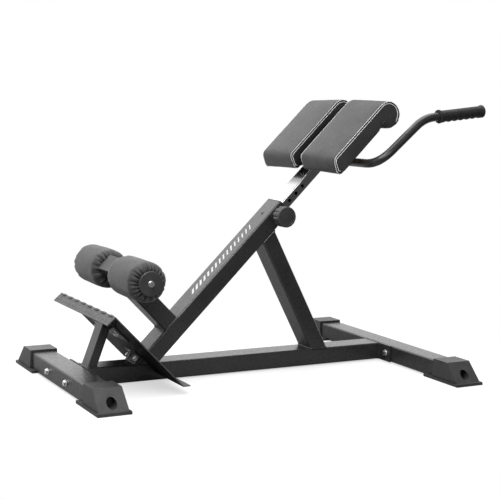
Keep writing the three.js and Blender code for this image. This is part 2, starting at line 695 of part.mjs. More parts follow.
// A flat strip across the slider whose ends droop with the pads.
function padPlate(at) {
  const droop = (PAD_PLATE_HALF - PAD_BEND_Y) * Math.tan(PAD_TILT);
  const strip = sheetShape([
    [-PAD_PLATE_HALF, plateTop - droop], [-PAD_BEND_Y, plateTop],
    [PAD_BEND_Y, plateTop], [PAD_PLATE_HALF, plateTop - droop],
  ], -PAD_PLATE_THICK);
  const holes = [-1, 1].map((side) => rod(3, -20, 20, 12).rotateX(Math.PI / 2)
    .translate(PAD_PLATE_WIDTH / 2, side * PAD_SCREW_Y, plateTop));
  return cut(extrude(strip, PAD_PLATE_WIDTH).applyMatrix4(ALONG_X), holes)
    .translate(at - PAD_PLATE_WIDTH / 2, 0, 0);
}

PAD_PLATES_AT.forEach((at, index) => {
  piece(['lower_pad_plate', 'upper_pad_plate'][index], padPlate(at), frameBlack, incline);
});

// Side outline of a pad: flat back and face, leaning toe, rolled top edge that drops behind the back.
function padOutline() {
  const front = ROLL_HEIGHT + ROLL_RADIUS;
  const lean = (PAD_LEAN / front) * PAD_CORNER;
  const faceStart = PAD_BOTTOM + PAD_LEAN;
  const reach = Math.sqrt((ROLL_RADIUS + PAD_FILLET) ** 2 - (ROLL_HEIGHT + PAD_FILLET) ** 2);
  const filletAt = ROLL_AT - reach;
  const touch = Math.atan2(-PAD_FILLET - ROLL_HEIGHT, filletAt - ROLL_AT);
  const shape = new THREE.Shape();
  shape.moveTo(PAD_BOTTOM + PAD_CORNER, 0);
  shape.lineTo(filletAt, 0);
  shape.absarc(filletAt, -PAD_FILLET, PAD_FILLET, Math.PI / 2, touch + Math.PI, true);
  shape.absarc(ROLL_AT, ROLL_HEIGHT, ROLL_RADIUS, touch, Math.PI / 2, false);
  shape.lineTo(faceStart + PAD_CORNER, front);
  shape.quadraticCurveTo(faceStart, front, faceStart - lean, front - PAD_CORNER);
  shape.lineTo(PAD_BOTTOM + lean, PAD_CORNER);
  shape.quadraticCurveTo(PAD_BOTTOM, 0, PAD_BOTTOM + PAD_CORNER, 0);
  return shape;
}

const padWidth = PAD_OUTER - PAD_INNER;
const boardFrom = PAD_BOTTOM + 2 * BOARD_INSET + 1;
for (const [side, sign] of [['left', 1], ['right', -1]]) {
  const pad = new THREE.Group();
  pad.position.set(0, sign * PAD_BEND_Y, plateTop + GAP);
  pad.rotation.x = -sign * PAD_TILT;
  incline.add(pad);
  const middle = sign * ((PAD_INNER + PAD_OUTER) / 2 - PAD_BEND_Y);
  const boardHalf = padWidth / 2 - BOARD_INSET;
  const boardBox = (room) => block(
    [boardFrom - room, middle - boardHalf - room, -room],
    [BOARD_END + room, middle + boardHalf + room, BOARD_THICK + room]);
  const screwHole = (radius, top) => PAD_PLATES_AT.map((at) => rod(radius, -10, top, 12)
    .rotateX(Math.PI / 2).translate(at, sign * (PAD_SCREW_Y - PAD_BEND_Y), 0));
  piece(`pad_board_${side}`, cut(boardBox(0), screwHole(3, 10)), plywood, pad);
  const foam = acrossY(padOutline(), padWidth, middle);
  piece(`pad_cushion_${side}`, cut(foam, [boardBox(GAP)]), padVinyl, pad);
  PAD_PLATES_AT.forEach((at, index) => {
    const screw = join([rod(6.5, 0, 2, 16), rod(2.4, -12, 1, 12)]);
    aim(piece(`${['lower', 'upper'][index]}_pad_screw_${side}`, screw, zincSteel, pad),
      [at, sign * (PAD_SCREW_Y - PAD_BEND_Y), -PAD_PLATE_THICK - 2.5 * GAP], [0, 0, -1]);
  });
}

// ---------------------------------------------------------------- handlebar and grips

// Works in the bench frame: the bar passes under the slider and its arms reach forward.
function handlebarPath() {
  const bendPoint = new THREE.Vector3(BAR_AT, 0, -BAR_DROP).applyMatrix4(incline.matrixWorld);
  const armRise = (ARM_END_X - bendPoint.x) * Math.tan(ARM_SLOPE);
  const elbow = new THREE.Vector3(ARM_END_X, 0, bendPoint.z + armRise);
  const alongArm = new THREE.Vector3(Math.cos(ARM_SLOPE), 0, Math.sin(ARM_SLOPE));
  const alongGrip = new THREE.Vector3(Math.cos(GRIP_SLOPE), 0, Math.sin(GRIP_SLOPE));
  const tip = elbow.clone().addScaledVector(alongGrip, GRIP_START + GRIP_LENGTH - GRIP_END_WALL - GAP);
  const at = (point, y) => point.clone().setY(y);
  const half = (sign) => {
    const side = sign * BAR_HALF;
    const corner = at(bendPoint, side);
    const crossEnd = at(bendPoint, sign * (BAR_HALF - CORNER_BEND));
    const armStart = corner.clone().addScaledVector(alongArm, CORNER_BEND);
    const armEnd = at(elbow, side).addScaledVector(alongArm, -ARM_BEND);
    const gripStart = at(elbow, side).addScaledVector(alongGrip, ARM_BEND);
    return { corner, crossEnd, armStart, armEnd, elbow: at(elbow, side), gripStart, tip: at(tip, side) };
  };
  const right = half(-1);
  const left = half(1);
  const path = new THREE.CurvePath();
  path.add(new THREE.LineCurve3(right.tip, right.gripStart));
  path.add(new THREE.QuadraticBezierCurve3(right.gripStart, right.elbow, right.armEnd));
  path.add(new THREE.LineCurve3(right.armEnd, right.armStart));
  path.add(new THREE.QuadraticBezierCurve3(right.armStart, right.corner, right.crossEnd));
  path.add(new THREE.LineCurve3(right.crossEnd, left.crossEnd));
  path.add(new THREE.QuadraticBezierCurve3(left.crossEnd, left.corner, left.armStart));
  path.add(new THREE.LineCurve3(left.armStart, left.armEnd));
  path.add(new THREE.QuadraticBezierCurve3(left.armEnd, left.elbow, left.gripStart));
  path.add(new THREE.LineCurve3(left.gripStart, left.tip));
  return { path, elbow, alongGrip };
}

const { path: barPath, elbow, alongGrip } = handlebarPath();

// Sweeps a round bar through the path, with rings only where it bends.
function sweptBar(path, radius, sides) {
  const rings = [];
  path.curves.forEach((curve, index) => {
    const steps = curve.isLineCurve3 ? 1 : 6;
    for (let step = index === 0 ? 0 : 1; step <= steps; step += 1) {
      const t = step / steps;
      rings.push({ centre: curve.getPoint(t), along: curve.getTangent(t).normalize() });
    }
  });
  let across = new THREE.Vector3(0, 1, 0);
  const positions = [];
  rings.forEach(({ centre, along }) => {
    across = across.clone().addScaledVector(along, -across.dot(along)).normalize();
    const up = new THREE.Vector3().crossVectors(along, across);
    for (let side = 0; side < sides; side += 1) {
      const angle = (side / sides) * 2 * Math.PI;
      positions.push(...centre.clone()
        .addScaledVector(across, radius * Math.cos(angle))
        .addScaledVector(up, radius * Math.sin(angle)).toArray());
    }
  });
  const index = [];
  for (let ring = 0; ring + 1 < rings.length; ring += 1) {
    for (let side = 0; side < sides; side += 1) {
      const a = ring * sides + side;
      const b = ring * sides + (side + 1) % sides;
      index.push(a, b, b + sides, a, b + sides, a + sides);
    }
  }
  const last = (rings.length - 1) * sides;
  for (let side = 1; side + 1 < sides; side += 1) {
    index.push(0, side + 1, side, last, last + side, last + side + 1);
  }
  const geometry = new THREE.BufferGeometry();
  geometry.setAttribute('position', new THREE.Float32BufferAttribute(positions, 3));
  geometry.setIndex(index);
  geometry.computeVertexNormals();
  return geometry;
}

piece('handlebar', sweptBar(barPath, BAR_RADIUS, 12), frameBlack);

// A rubber grip: flanges at both ends and soft finger swells between them.
function gripGeometry() {
  const bore = BAR_RADIUS + GAP;
  const swell = (y) => GRIP_RADIUS + 0.9 * Math.cos((y / GRIP_LENGTH) * 10 * Math.PI);
  const waist = Array.from({ length: 11 }, (_, index) => {
    const y = 9 + (index / 10) * (GRIP_LENGTH - 18);
    return [swell(y), y];
  });
  return lathe([
    [bore, 0], [GRIP_FLANGE, 0], [GRIP_FLANGE, 4], [GRIP_RADIUS + 1, 6], ...waist,
    [GRIP_FLANGE - 1, GRIP_LENGTH - 5], [GRIP_FLANGE - 1, GRIP_LENGTH - 1], [GRIP_FLANGE - 3, GRIP_LENGTH],
    [0, GRIP_LENGTH], [0, GRIP_LENGTH - GRIP_END_WALL], [bore, GRIP_LENGTH - GRIP_END_WALL], [bore, 0],
  ], 18);
}

for (const [side, sign] of [['left', 1], ['right', -1]]) {
  const start = elbow.clone().addScaledVector(alongGrip, GRIP_START).setY(sign * BAR_HALF);
  aim(piece(`grip_${side}`, gripGeometry(), gripRubber), start.toArray(), alongGrip.toArray());
}

// ---------------------------------------------------------------- origin

bench.updateMatrixWorld(true);
const extent = new THREE.Box3().setFromObject(bench, true);
bench.position.x = -Math.round((extent.min.x + extent.max.x) / 2 * 10) / 10;

export default bench;
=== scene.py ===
"""Looks of the roman chair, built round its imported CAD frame.

The row frame is in metres, +Z up, +X towards the handles. Lengths below are in millimetres and
become metres when a mesh is made. `incline(u, v, w)` is a point in the upright's own frame:
u up its centre line, v across the bench, w square out of its top face.
"""

import json
import math
import random

import bpy
from mathutils import Matrix, Vector
from mathutils.bvhtree import BVHTree
from mathutils.kdtree import KDTree


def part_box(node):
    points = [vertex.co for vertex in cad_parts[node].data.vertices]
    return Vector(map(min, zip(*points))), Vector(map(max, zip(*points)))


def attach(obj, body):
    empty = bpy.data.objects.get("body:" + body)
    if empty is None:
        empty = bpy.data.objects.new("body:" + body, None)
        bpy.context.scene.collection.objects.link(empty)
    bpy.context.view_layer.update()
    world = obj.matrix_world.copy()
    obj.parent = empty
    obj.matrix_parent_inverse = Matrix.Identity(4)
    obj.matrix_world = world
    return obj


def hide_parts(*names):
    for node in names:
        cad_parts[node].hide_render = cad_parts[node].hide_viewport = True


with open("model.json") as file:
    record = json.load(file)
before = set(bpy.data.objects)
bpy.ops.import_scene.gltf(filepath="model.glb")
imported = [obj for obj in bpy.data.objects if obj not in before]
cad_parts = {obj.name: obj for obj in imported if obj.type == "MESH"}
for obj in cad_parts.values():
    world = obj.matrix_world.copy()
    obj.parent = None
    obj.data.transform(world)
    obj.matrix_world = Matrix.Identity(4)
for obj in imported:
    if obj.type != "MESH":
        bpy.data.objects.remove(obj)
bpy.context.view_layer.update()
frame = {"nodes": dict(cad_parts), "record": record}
NODES = frame["nodes"]
SCENE = bpy.context.scene

MM = 0.001
SIDES = (("left", 1), ("right", -1))

# ---------------------------------------------------------------- sizes shared with the frame

SLOPE = math.radians(45)
MIDDLE = 600.3                  # the CAD's own X zero to the row frame's origin
UPRIGHT_FOOT = Vector((192 - MIDDLE, 0, 0))
U = Vector((math.cos(SLOPE), 0, math.sin(SLOPE)))
V = Vector((0, 1, 0))
W = Vector((-math.sin(SLOPE), 0, math.cos(SLOPE)))
X = Vector((1, 0, 0))
Z = Vector((0, 0, 1))

TUBE_HALF_WIDTH = 37.5
TUBE_HALF_DEPTH = 25
TUBE_CORNER = 5
RAIL_TOP = 53
RAIL_MIDDLE = 28
POST_AT = 199
BRACE_FOOT = Vector((834 - MIDDLE, 0, 0))
BRACE_SLOPE = math.radians(118.3)
KICK_FOOT = Vector((69 - MIDDLE, 0, 0))
KICK_SLOPE = math.radians(70.3)
KICK_HALF = (25, 12.5)
KICK_CORNER = 3
RAIL_WELD_HALF = (37, 24.5)     # the rail a little inside its skin, so that the bead bites
THICK_BEAD = 2.6
THIN_BEAD = 2.0
MOUNT_UNDERSIDE = 69.9

FOOT_PLATE_OVER = 77.5
FOOT_PLATE_TOP = 237
FOOT_PLATE_BOTTOM = -43
FOOT_PLATE_HALF = 204
FOOT_PLATE_LIP = 31
NOTCH_HALF = 40
NOTCH_TOP = 26
MOUNT_BOLT_V = 70               # across, from the middle
MOUNT_BOLT_W = 145              # up the plate

BAR_RADIUS = 12.5
BAR_HALF = 246
BAR_AT = 899
BAR_DROP = 27.8
ARM_SLOPE = math.radians(40.6)
GRIP_SLOPE = math.radians(6.9)
ARM_END_X = 1002 - MIDDLE
ARM_BEND = 34
CORNER_BEND = 62
GRIP_START = 50
GRIP_LENGTH = 163
BAR_END_INSET = 6               # the bar ends this far inside the grip

PAD_TILT = math.radians(1.5)
PAD_BEND_Y = 32
PAD_BACK = 19.6
PAD_INNER = 26
PAD_OUTER = 203
PAD_BOTTOM = 806
PAD_LEAN = 12
PAD_CORNER = 16
ROLL_AT = 1041
ROLL_RADIUS = 41
ROLL_HEIGHT = 12.5
PAD_FRONT = ROLL_HEIGHT + ROLL_RADIUS       # the face, out from the back
FACE_INNER = PAD_INNER - PAD_BEND_Y         # the face's edges, out from the pad's bend line
FACE_OUTER = PAD_OUTER - PAD_BEND_Y
BOARD_START = 831
BOARD_END = 985
BOARD_INSET = 12
BOARD_THICK = 12

ROLLER_RADIUS = 54
ROLLER_NECK = 34
ROLLER_BORE = 12
ROLLER_ROUND = 24


def incline(u, v, w):
    return UPRIGHT_FOOT + U * u + V * v + W * w


# ---------------------------------------------------------------- mesh helpers

class Shape:
    """Points (mm, row frame) and faces that become one object."""

    def __init__(self):
        self.points = []
        self.faces = []

    def add(self, points, faces):
        start = len(self.points)
        self.points.extend(points)
        self.faces.extend([tuple(start + index for index in face) for face in faces])
        return self

    def skin(self, rings, closed=False, caps=True):
        """Joins rings of equal length; `closed` joins the last ring to the first."""
        count = len(rings[0])
        faces = []
        pairs = len(rings) if closed else len(rings) - 1
        for row in range(pairs):
            here = row * count
            there = (row + 1) % len(rings) * count
            for column in range(count):
                after = (column + 1) % count
                faces.append((here + column, here + after, there + after, there + column))
        if caps and not closed:
            faces.append(tuple(reversed(range(count))))
            faces.append(tuple(range((len(rings) - 1) * count, len(rings) * count)))
        return self.add([point for ring in rings for point in ring], faces)

    def turned(self, base, axis, profile, segments=48, caps=False, radius_at=None):
        """Turns (radius, height) pairs about an axis.

        `radius_at(radius, height, angle)` may shape the result.
        """
        side, up = cross_axes(axis)
        rings = []
        for radius, height in profile:
            ring = []
            for angle in turns(segments):
                reach = radius_at(radius, height, angle) if radius_at else radius
                ring.append(base + axis * height + spoke(side, up, angle) * reach)
            rings.append(ring)
        return self.skin(rings, caps=caps)

    def build(self, name):
        mesh = bpy.data.meshes.new(name)
        mesh.from_pydata([tuple(point * MM) for point in self.points], [], self.faces)
        mesh.update()
        obj = bpy.data.objects.new(name, mesh)
        SCENE.collection.objects.link(obj)
        set_smooth(mesh)
        return obj


def set_smooth(mesh):
    mesh.polygons.foreach_set("use_smooth", [True] * len(mesh.polygons))


def cross_axes(axis):
    """Two unit vectors square to `axis`; the first lies as level as it can."""
    helper = Z if abs(axis.dot(Z)) < 0.9 else X
    side = helper.cross(axis).normalized()
    return side, axis.cross(side).normalized()


def turns(count):
    """Angles spread evenly round a circle."""
    return [2 * math.pi * step / count for step in range(count)]


def spoke(side, up, angle):
    return side * math.cos(angle) + up * math.sin(angle)


def swept_rings(path, radius, sides=12, closed=False):
    """Rings along a path of points; `radius` is a number or a function of the length so far."""
    rings = []
    across = None
    travelled = 0.0
    count = len(path)
    for index, point in enumerate(path):
        before = path[index - 1] if index or closed else point
        after = path[(index + 1) % count] if index + 1 < count or closed else point
        along = (after - before).normalized()
        if across is None:
            across = cross_axes(along)[0]
        across = (across - along * across.dot(along)).normalized()
        up = along.cross(across)
        if index:
            travelled += (point - path[index - 1]).length
        reach = radius(travelled) if callable(radius) else radius
        rings.append([point + spoke(across, up, angle) * reach for angle in turns(sides)])
    return rings


def resample(path, step):
    """The same line of points, evenly spaced."""
    result = [path[0]]
    left = step
    for start, end in zip(path, path[1:]):
        length = (end - start).length
        done = 0.0
        while length - done >= left:
            done += left
            result.append(start.lerp(end, done / length))
            left = step
        left -= length - done
    return result


def set_all(thing, settings):
    for key, value in settings.items():
        setattr(thing, key, value)
    return thing


def modify(obj, name, kind, **settings):
    return set_all(obj.modifiers.new(name, kind), settings)


class Nodes:
    """Makes and links the nodes of one tree."""

    def __init__(self, tree):
        self.tree = tree

    def node(self, kind, inputs=None, **settings):
        """A new node. An input is given a plain value or the output that feeds it."""
        node = set_all(self.tree.nodes.new(kind), settings)
        for key, value in (inputs or {}).items():
            self.feed(node.inputs[key], value)
        return node

    def feed(self, socket, value):
        if isinstance(value, bpy.types.NodeSocket):
            self.tree.links.new(value, socket)
        else:
            socket.default_value = value

    def dot(self, first, second):
        return self.node("ShaderNodeVectorMath", {0: first, 1: second},
                         operation="DOT_PRODUCT").outputs["Value"]

    def maths(self, operation, *values):
        return self.node("ShaderNodeMath", dict(enumerate(values)), operation=operation).outputs[0]

    def remap(self, value, low, high, from_low=0.3, from_high=0.7, curve="LINEAR"):
        """Spreads one range over another and stops at its ends."""
        return self.node("ShaderNodeMapRange", {
            "Value": value, "From Min": from_low, "From Max": from_high,
            "To Min": low, "To Max": high}, interpolation_type=curve).outputs["Result"]


CREASE_ANGLE = math.radians(38)


def add_crease_group():
    """A modifier group that smooths a mesh except where its faces meet at a sharp angle."""
    tree = bpy.data.node_groups.new("smooth_by_angle", "GeometryNodeTree")
    for in_out in ("INPUT", "OUTPUT"):
        tree.interface.new_socket("Geometry", in_out=in_out, socket_type="NodeSocketGeometry")
    group = Nodes(tree)
    source = group.node("NodeGroupInput").outputs[0]
    angle = group.node("GeometryNodeInputMeshEdgeAngle").outputs["Unsigned Angle"]
    below = group.node("FunctionNodeCompare", {0: angle, 1: CREASE_ANGLE}, operation="LESS_THAN")
    faces = group.node("GeometryNodeSetShadeSmooth", {"Geometry": source})
    edges = group.node("GeometryNodeSetShadeSmooth", {
        "Geometry": faces.outputs[0], "Shade Smooth": below.outputs[0]}, domain="EDGE")
    group.node("NodeGroupOutput", {0: edges.outputs[0]})
    return tree


CREASES = add_crease_group()


def soften(obj, edge=0.0):
    """Rounds the sharp edges of a hard piece by `edge` mm and keeps its flat faces flat."""
    if edge:
        modify(obj, "edges", "BEVEL", width=edge * MM, segments=3, limit_method="ANGLE",
               angle_limit=CREASE_ANGLE, use_clamp_overlap=True)
    modify(obj, "creases", "NODES", node_group=CREASES)
    modify(obj, "normals", "WEIGHTED_NORMAL", keep_sharp=True)


# ---------------------------------------------------------------- materials

WAVE_PERIOD = 0.314             # of Blender's wave texture at scale 1
OCCLUSION_SAMPLES = 12


class Look(Nodes):
    """One procedural material; textures are laid out in the object's own metres."""

    def __init__(self, name, colour, roughness, metallic=0.0, specular=0.5):
        self.material = bpy.data.materials.new(name)
        self.material.use_nodes = True
        super().__init__(self.material.node_tree)
        self.shader = self.tree.nodes["Principled BSDF"]
        self.where = self.node("ShaderNodeTexCoord").outputs["Object"]
        self.normal = None
        self.paint((*colour, 1.0))
        self.put("Roughness", roughness)
        self.put("Metallic", metallic)
        self.put("Specular IOR Level", specular)

    def put(self, socket, value):
        self.feed(self.shader.inputs[socket], value)

    def paint(self, colour):
        self.put("Base Color", colour)

    def noise(self, size_mm, detail=3.0, stretch=(1.0, 1.0, 1.0), turn=0.0):
        """Cloudy pattern whose features are about `size_mm` across."""
        placed = self.node("ShaderNodeMapping", {
            "Rotation": (0.0, turn, 0.0), "Scale": stretch, "Vector": self.where},
            vector_type="TEXTURE").outputs[0]
        return self.node("ShaderNodeTexNoise", {
            "Scale": 1.0 / (size_mm * MM), "Detail": detail, "Vector": placed}).outputs["Fac"]

    def cells(self, size_mm):
        """Pebbled pattern, dark in the middle of each cell."""
        return self.node("ShaderNodeTexVoronoi", {
            "Scale": 1.0 / (size_mm * MM), "Vector": self.where}).outputs["Distance"]

    def threads(self, size_mm, axis):
        """Parallel bands across an axis, one per thread."""
        return self.node("ShaderNodeTexWave", {
            "Scale": WAVE_PERIOD / (size_mm * MM), "Distortion": 0.3, "Vector": self.where},
            bands_direction=axis).outputs["Fac"]

    def blend(self, value, dark, light):
        ends = [(*end, 1.0) if isinstance(end, tuple) else end for end in (dark, light)]
        return self.node("ShaderNodeMix", {0: value, 6: ends[0], 7: ends[1]},
                         data_type="RGBA").outputs[2]

    def cloud(self, size_mm, dark, light, detail=3.0):
        """Two colours in soft patches."""
        return self.blend(self.remap(self.noise(size_mm, detail), 0.0, 1.0), dark, light)

    def rough(self, value, low, high):
        self.put("Roughness", self.remap(value, low, high))

    def bump(self, value, depth_mm):
        """Adds relief on top of any that the look has already."""
        inputs = {"Strength": 1.0, "Distance": depth_mm * MM, "Height": value}
        if self.normal is not None:
            inputs["Normal"] = self.normal
        self.normal = self.node("ShaderNodeBump", inputs).outputs["Normal"]
        self.put("Normal", self.normal)

    def true_normal(self):
        return self.node("ShaderNodeNewGeometry").outputs["Normal"]

    def facing(self, direction):
        """One where the surface looks along a direction, nought elsewhere."""
        return self.remap(self.dot(self.true_normal(), direction), 0.0, 1.0, 0.8, 0.95)

    def along(self, direction, low, high):
        """Nought up to one distance along a direction and one from the other on."""
        return self.remap(self.dot(self.where, direction), 0.0, 1.0, low, high)

    def crevice_shade(self, reach_mm, only_local=True):
        """Mask for painted shade, from ambient occlusion: one in the bottom of a fold or gap and
        nought on open surface.
        """
        shade = self.node("ShaderNodeAmbientOcclusion", {"Distance": reach_mm * MM},
                          samples=OCCLUSION_SAMPLES, only_local=only_local)
        return self.remap(shade.outputs["AO"], 1.0, 0.0, 0.45, 0.85)

    def edge_mask(self, radius_mm):
        """About one on edges and nought on flat faces."""
        bevel = self.node("ShaderNodeBevel", {"Radius": radius_mm * MM}).outputs[0]
        return self.remap(self.dot(bevel, self.true_normal()), 1.0, 0.0, 0.9, 0.995)


def grey(value, warm=0.0):
    return (value * (1 + warm), value, value * (1 - warm))


def paint_underside_shade(look, coated, dark):
    """Paints the faces that look down the upright dark and dull, as the photo shows them."""
    # Painted shade: faces that look down the upright are painted dark and made dull.
    under = look.facing(-U)
    look.paint(look.blend(under, coated, dark))
    look.put("Specular IOR Level", look.remap(under, 0.5, 0.05, 0.0, 1.0))


def make_powder_coat(name, under=None):
    """The frame's black coat; `under` is a darker colour painted on its underside as painted shade.
    """
    look = Look(name, grey(0.012), 0.34, specular=0.55)
    worn = look.remap(look.edge_mask(1.4), 0.0, 0.5, 0.0, 1.0)
    coated = look.blend(worn, look.cloud(60, grey(0.020), grey(0.027)), grey(0.05))
    look.paint(coated)
    if under:
        paint_underside_shade(look, coated, under)
    look.rough(look.noise(9), 0.25, 0.35)
    look.bump(look.noise(1.6, detail=2.0), 0.02)
    look.bump(look.noise(14), 0.04)
    return look.material


def make_moulded_plastic():
    look = Look("hard_plastic", grey(0.03), 0.45)
    moulded = look.cloud(25, grey(0.026), grey(0.040))
    # Painted shade: recesses and corners, such as the cap's hole, are painted near black.
    look.paint(look.blend(look.crevice_shade(22), moulded, grey(0.006)))
    look.rough(look.noise(5), 0.40, 0.55)
    look.bump(look.cells(0.9), 0.05)
    look.bump(look.noise(30), 0.15)
    return look.material


def make_zinc():
    look = Look("zinc_steel", grey(0.72), 0.22, metallic=1.0)
    look.paint(look.cloud(3, grey(0.68, 0.02), grey(0.88, -0.01)))
    look.rough(look.noise(1.5), 0.24, 0.42)
    look.bump(look.noise(0.8), 0.03)
    return look.material


PAINTED_REFLECTION_SPAN = (724, 770)        # up the slider, where a painted dark reflection of the pads comes in


def make_chrome():
    look = Look("chrome", grey(0.82), 0.06, metallic=1.0)
    scratches = look.noise(0.7, detail=4.0, stretch=(60.0, 1.0, 1.0), turn=-SLOPE)
    # Painted reflection: the slider's top face is painted dark grey from the span's start upwards,
    # where it would mirror the pads.
    clear, shaded = [incline(u, 0, 0).dot(U) * MM for u in PAINTED_REFLECTION_SPAN]
    fade = look.maths("MULTIPLY", look.along(U, clear, shaded), look.facing(W))
    look.paint(look.blend(fade, look.cloud(40, grey(0.76), grey(0.86)), grey(0.16)))
    look.rough(scratches, 0.12, 0.16)
    look.bump(scratches, 0.0006)
    return look.material


def make_grip_rubber():
    look = Look("grip_rubber", grey(0.012), 0.55, specular=0.4)
    look.paint(look.cloud(12, grey(0.010), grey(0.018)))
    look.rough(look.noise(4), 0.48, 0.66)
    look.bump(look.cells(1.1), 0.12)
    return look.material


def make_roller_cloth():
    look = Look("roller_cloth", grey(0.045), 0.62, specular=0.4)
    look.put("Sheen Weight", 0.3)
    look.put("Sheen Roughness", 0.4)
    cloth = look.cloud(35, grey(0.025), grey(0.037))
    # Painted shade: the bottoms of the gathers are painted near black.
    look.paint(look.blend(look.crevice_shade(14), cloth, grey(0.004)))
    look.rough(look.noise(6), 0.52, 0.72)
    look.bump(look.threads(0.9, "Y"), 0.08)
    look.bump(look.threads(0.9, "Z"), 0.08)
    look.bump(look.noise(18, detail=4.0), 0.5)
    return look.material


def make_vinyl():
    look = Look("pad_vinyl", grey(0.036), 0.46, specular=0.4)
    cover = look.cloud(45, grey(0.031), grey(0.044))
    # Painted shade: the gap between the pads and other hollows, including those made by nearby
    # parts, are painted darker.
    look.paint(look.blend(look.crevice_shade(90, only_local=False), cover, grey(0.010)))
    look.rough(look.noise(7), 0.44, 0.56)
    look.bump(look.cells(1.5), 0.08)
    look.bump(look.noise(3.0, detail=5.0), 0.08)
    look.bump(look.noise(60), 0.3)
    return look.material


def make_thread():
    look = Look("stitch_thread", grey(0.5, 0.02), 0.6)
    look.paint(look.cloud(1.2, grey(0.52), grey(0.70)))
    look.bump(look.noise(0.5), 0.06)
    return look.material


# A near-black, dull cord for each seam: painted shadow in the seam's groove.
def make_seam_shadow():
    look = Look("seam_shadow", grey(0.004), 0.9, specular=0.1)
    look.bump(look.noise(1.0), 0.1)
    look.rough(look.noise(2.0), 0.6, 0.8)
    return look.material


def make_plywood():
    look = Look("plywood", (0.46, 0.33, 0.20), 0.75)
    grain = look.noise(2.4, detail=6.0, stretch=(1.0, 24.0, 1.0))
    look.paint(look.blend(look.remap(grain, 0.0, 1.0), (0.30, 0.19, 0.10), (0.52, 0.38, 0.24)))
    look.rough(grain, 0.65, 0.85)
    look.bump(grain, 0.08)
    return look.material


def make_tread_plate():
    look = Look("tread_plate", grey(0.045), 0.45, specular=0.5)
    cloud = look.cloud(28, grey(0.030), grey(0.060), detail=5.0)
    worn = look.remap(look.edge_mask(1.6), 0.0, 0.7, 0.0, 1.0)
    # Painted shade: the plate's underside, facing down the upright, is painted near black and made
    # dull.
    paint_underside_shade(look, look.blend(worn, cloud, grey(0.16)), grey(0.011))
    look.rough(look.noise(6), 0.36, 0.56)
    look.bump(look.noise(1.8), 0.10)
    return look.material


def make_decal():
    look = Look("decal_ink", grey(0.55), 0.4)
    look.paint(look.cloud(4, grey(0.45), grey(0.62)))
    look.rough(look.noise(2), 0.35, 0.5)
    return look.material


LOOKS = {
    "frame_black": make_powder_coat("frame_black"),
    "hard_plastic": make_moulded_plastic(),
    "zinc_steel": make_zinc(),
    "chrome": make_chrome(),
    "grip_rubber": make_grip_rubber(),
    "roller_cloth": make_roller_cloth(),
    "pad_vinyl": make_vinyl(),
    "plywood": make_plywood(),
    "tread_plate": make_tread_plate(),
}
THREAD = make_thread()
SEAM_SHADOW = make_seam_shadow()
DECAL = make_decal()
# A copy of the frame coat with painted shade on the faces that look down the upright.
UNDERSIDE_SHADE_COAT = make_powder_coat("frame_black_underside_shade", grey(0.006))


# ---------------------------------------------------------------- CAD pieces that stay

EDGE_ROUNDING = {"hard_plastic": 1.2, "tread_plate": 1.0, "chrome": 0.4, "plywood": 0.6}
DEFAULT_ROUNDING = 0.5


def dress_frame():
    """Gives each CAD piece its material and rounded edges."""
    for part in frame["record"]["subparts"]:
        node = NODES[part["node"]]
        slot = part["material_slot"]
        # The foot mount plate takes the copy of the coat with painted shade on its underside.
        gets_underside_shade = part["node"] == "foot_mount_plate"
        node.data.materials.clear()
        node.data.materials.append(UNDERSIDE_SHADE_COAT if gets_underside_shade else LOOKS[slot])
        soften(node, EDGE_ROUNDING.get(slot, DEFAULT_ROUNDING))


def finish_piece(obj, body, slot, material=None, replaced=()):
    obj.data.materials.append(material or LOOKS[slot])
    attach(obj, body)
    if replaced:
        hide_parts(*replaced)


def add_piece(shape, name, body, slot, material=None, replaced=(), hard=False):
    """Makes a shape into a piece of the model; a hard one keeps its creases."""
    obj = shape.build(name)
    if hard:
        soften(obj)
    finish_piece(obj, body, slot, material, replaced)


def seat_of(node, axis):
    """Where a turned CAD piece's centre line leaves its outer end, in mm, and its length."""
    side, up = cross_axes(axis)
    spans = []
    for direction in (axis, side, up):
        reach = [direction.dot(vertex.co) / MM for vertex in NODES[node].data.vertices]
        spans.append((min(reach), max(reach)))
    (low, high), across, above = spans
    tip = axis * high + side * (sum(across) / 2) + up * (sum(above) / 2)
    return tip, high - low


# ---------------------------------------------------------------- fasteners

BOLT_RADIUS = 4
HEEL_BOLT_RADIUS = 3.4
HEX_SEGMENTS = 48
HEX_HEIGHT = 8.0                # of a head or a nut with its washer
HEX_RATIO = 1.9                 # corner radius to bolt radius
HEX_CHAMFER = 0.12
WASHER_RATIO = 2.3
WASHER_THICK = 2.0
AXLE_WASHER = 8.2
NUT_PLAY = 0.3


def hexagon(radius):
    """How far a hexagon with this corner radius reaches at an angle."""
    def reach(angle):
        turn = (angle + math.pi / 6) % (math.pi / 3) - math.pi / 6
        return radius * math.cos(math.pi / 6) / math.cos(turn)
    return reach


def add_hex(shape, base, axis, radius, low, high, bore=0.0):
    """A hexagonal block whose outer corners are turned off to a shallow cone."""
    corner = hexagon(radius)
    round_off = radius * HEX_CHAMFER
    flat = radius * math.cos(math.pi / 6)
    profile = [
        (radius, low), (radius, high - round_off * 0.6),
        (flat + round_off * 0.3, high - round_off * 0.1), (flat * 0.94, high),
        (max(bore, flat * 0.5), high), (bore, high), (bore, high - 1.2)]
    shape.turned(base, axis, profile, HEX_SEGMENTS, caps=True,
                 radius_at=lambda wanted, _, angle: min(corner(angle), wanted))


def add_washer(shape, base, axis, radius, hole):
    shape.turned(base, axis, [
        (hole, 0.1), (radius - 0.5, 0.1), (radius, 0.5), (radius, WASHER_THICK - 0.5),
        (radius - 0.5, WASHER_THICK), (hole, WASHER_THICK), (hole, 0.1)], 40)


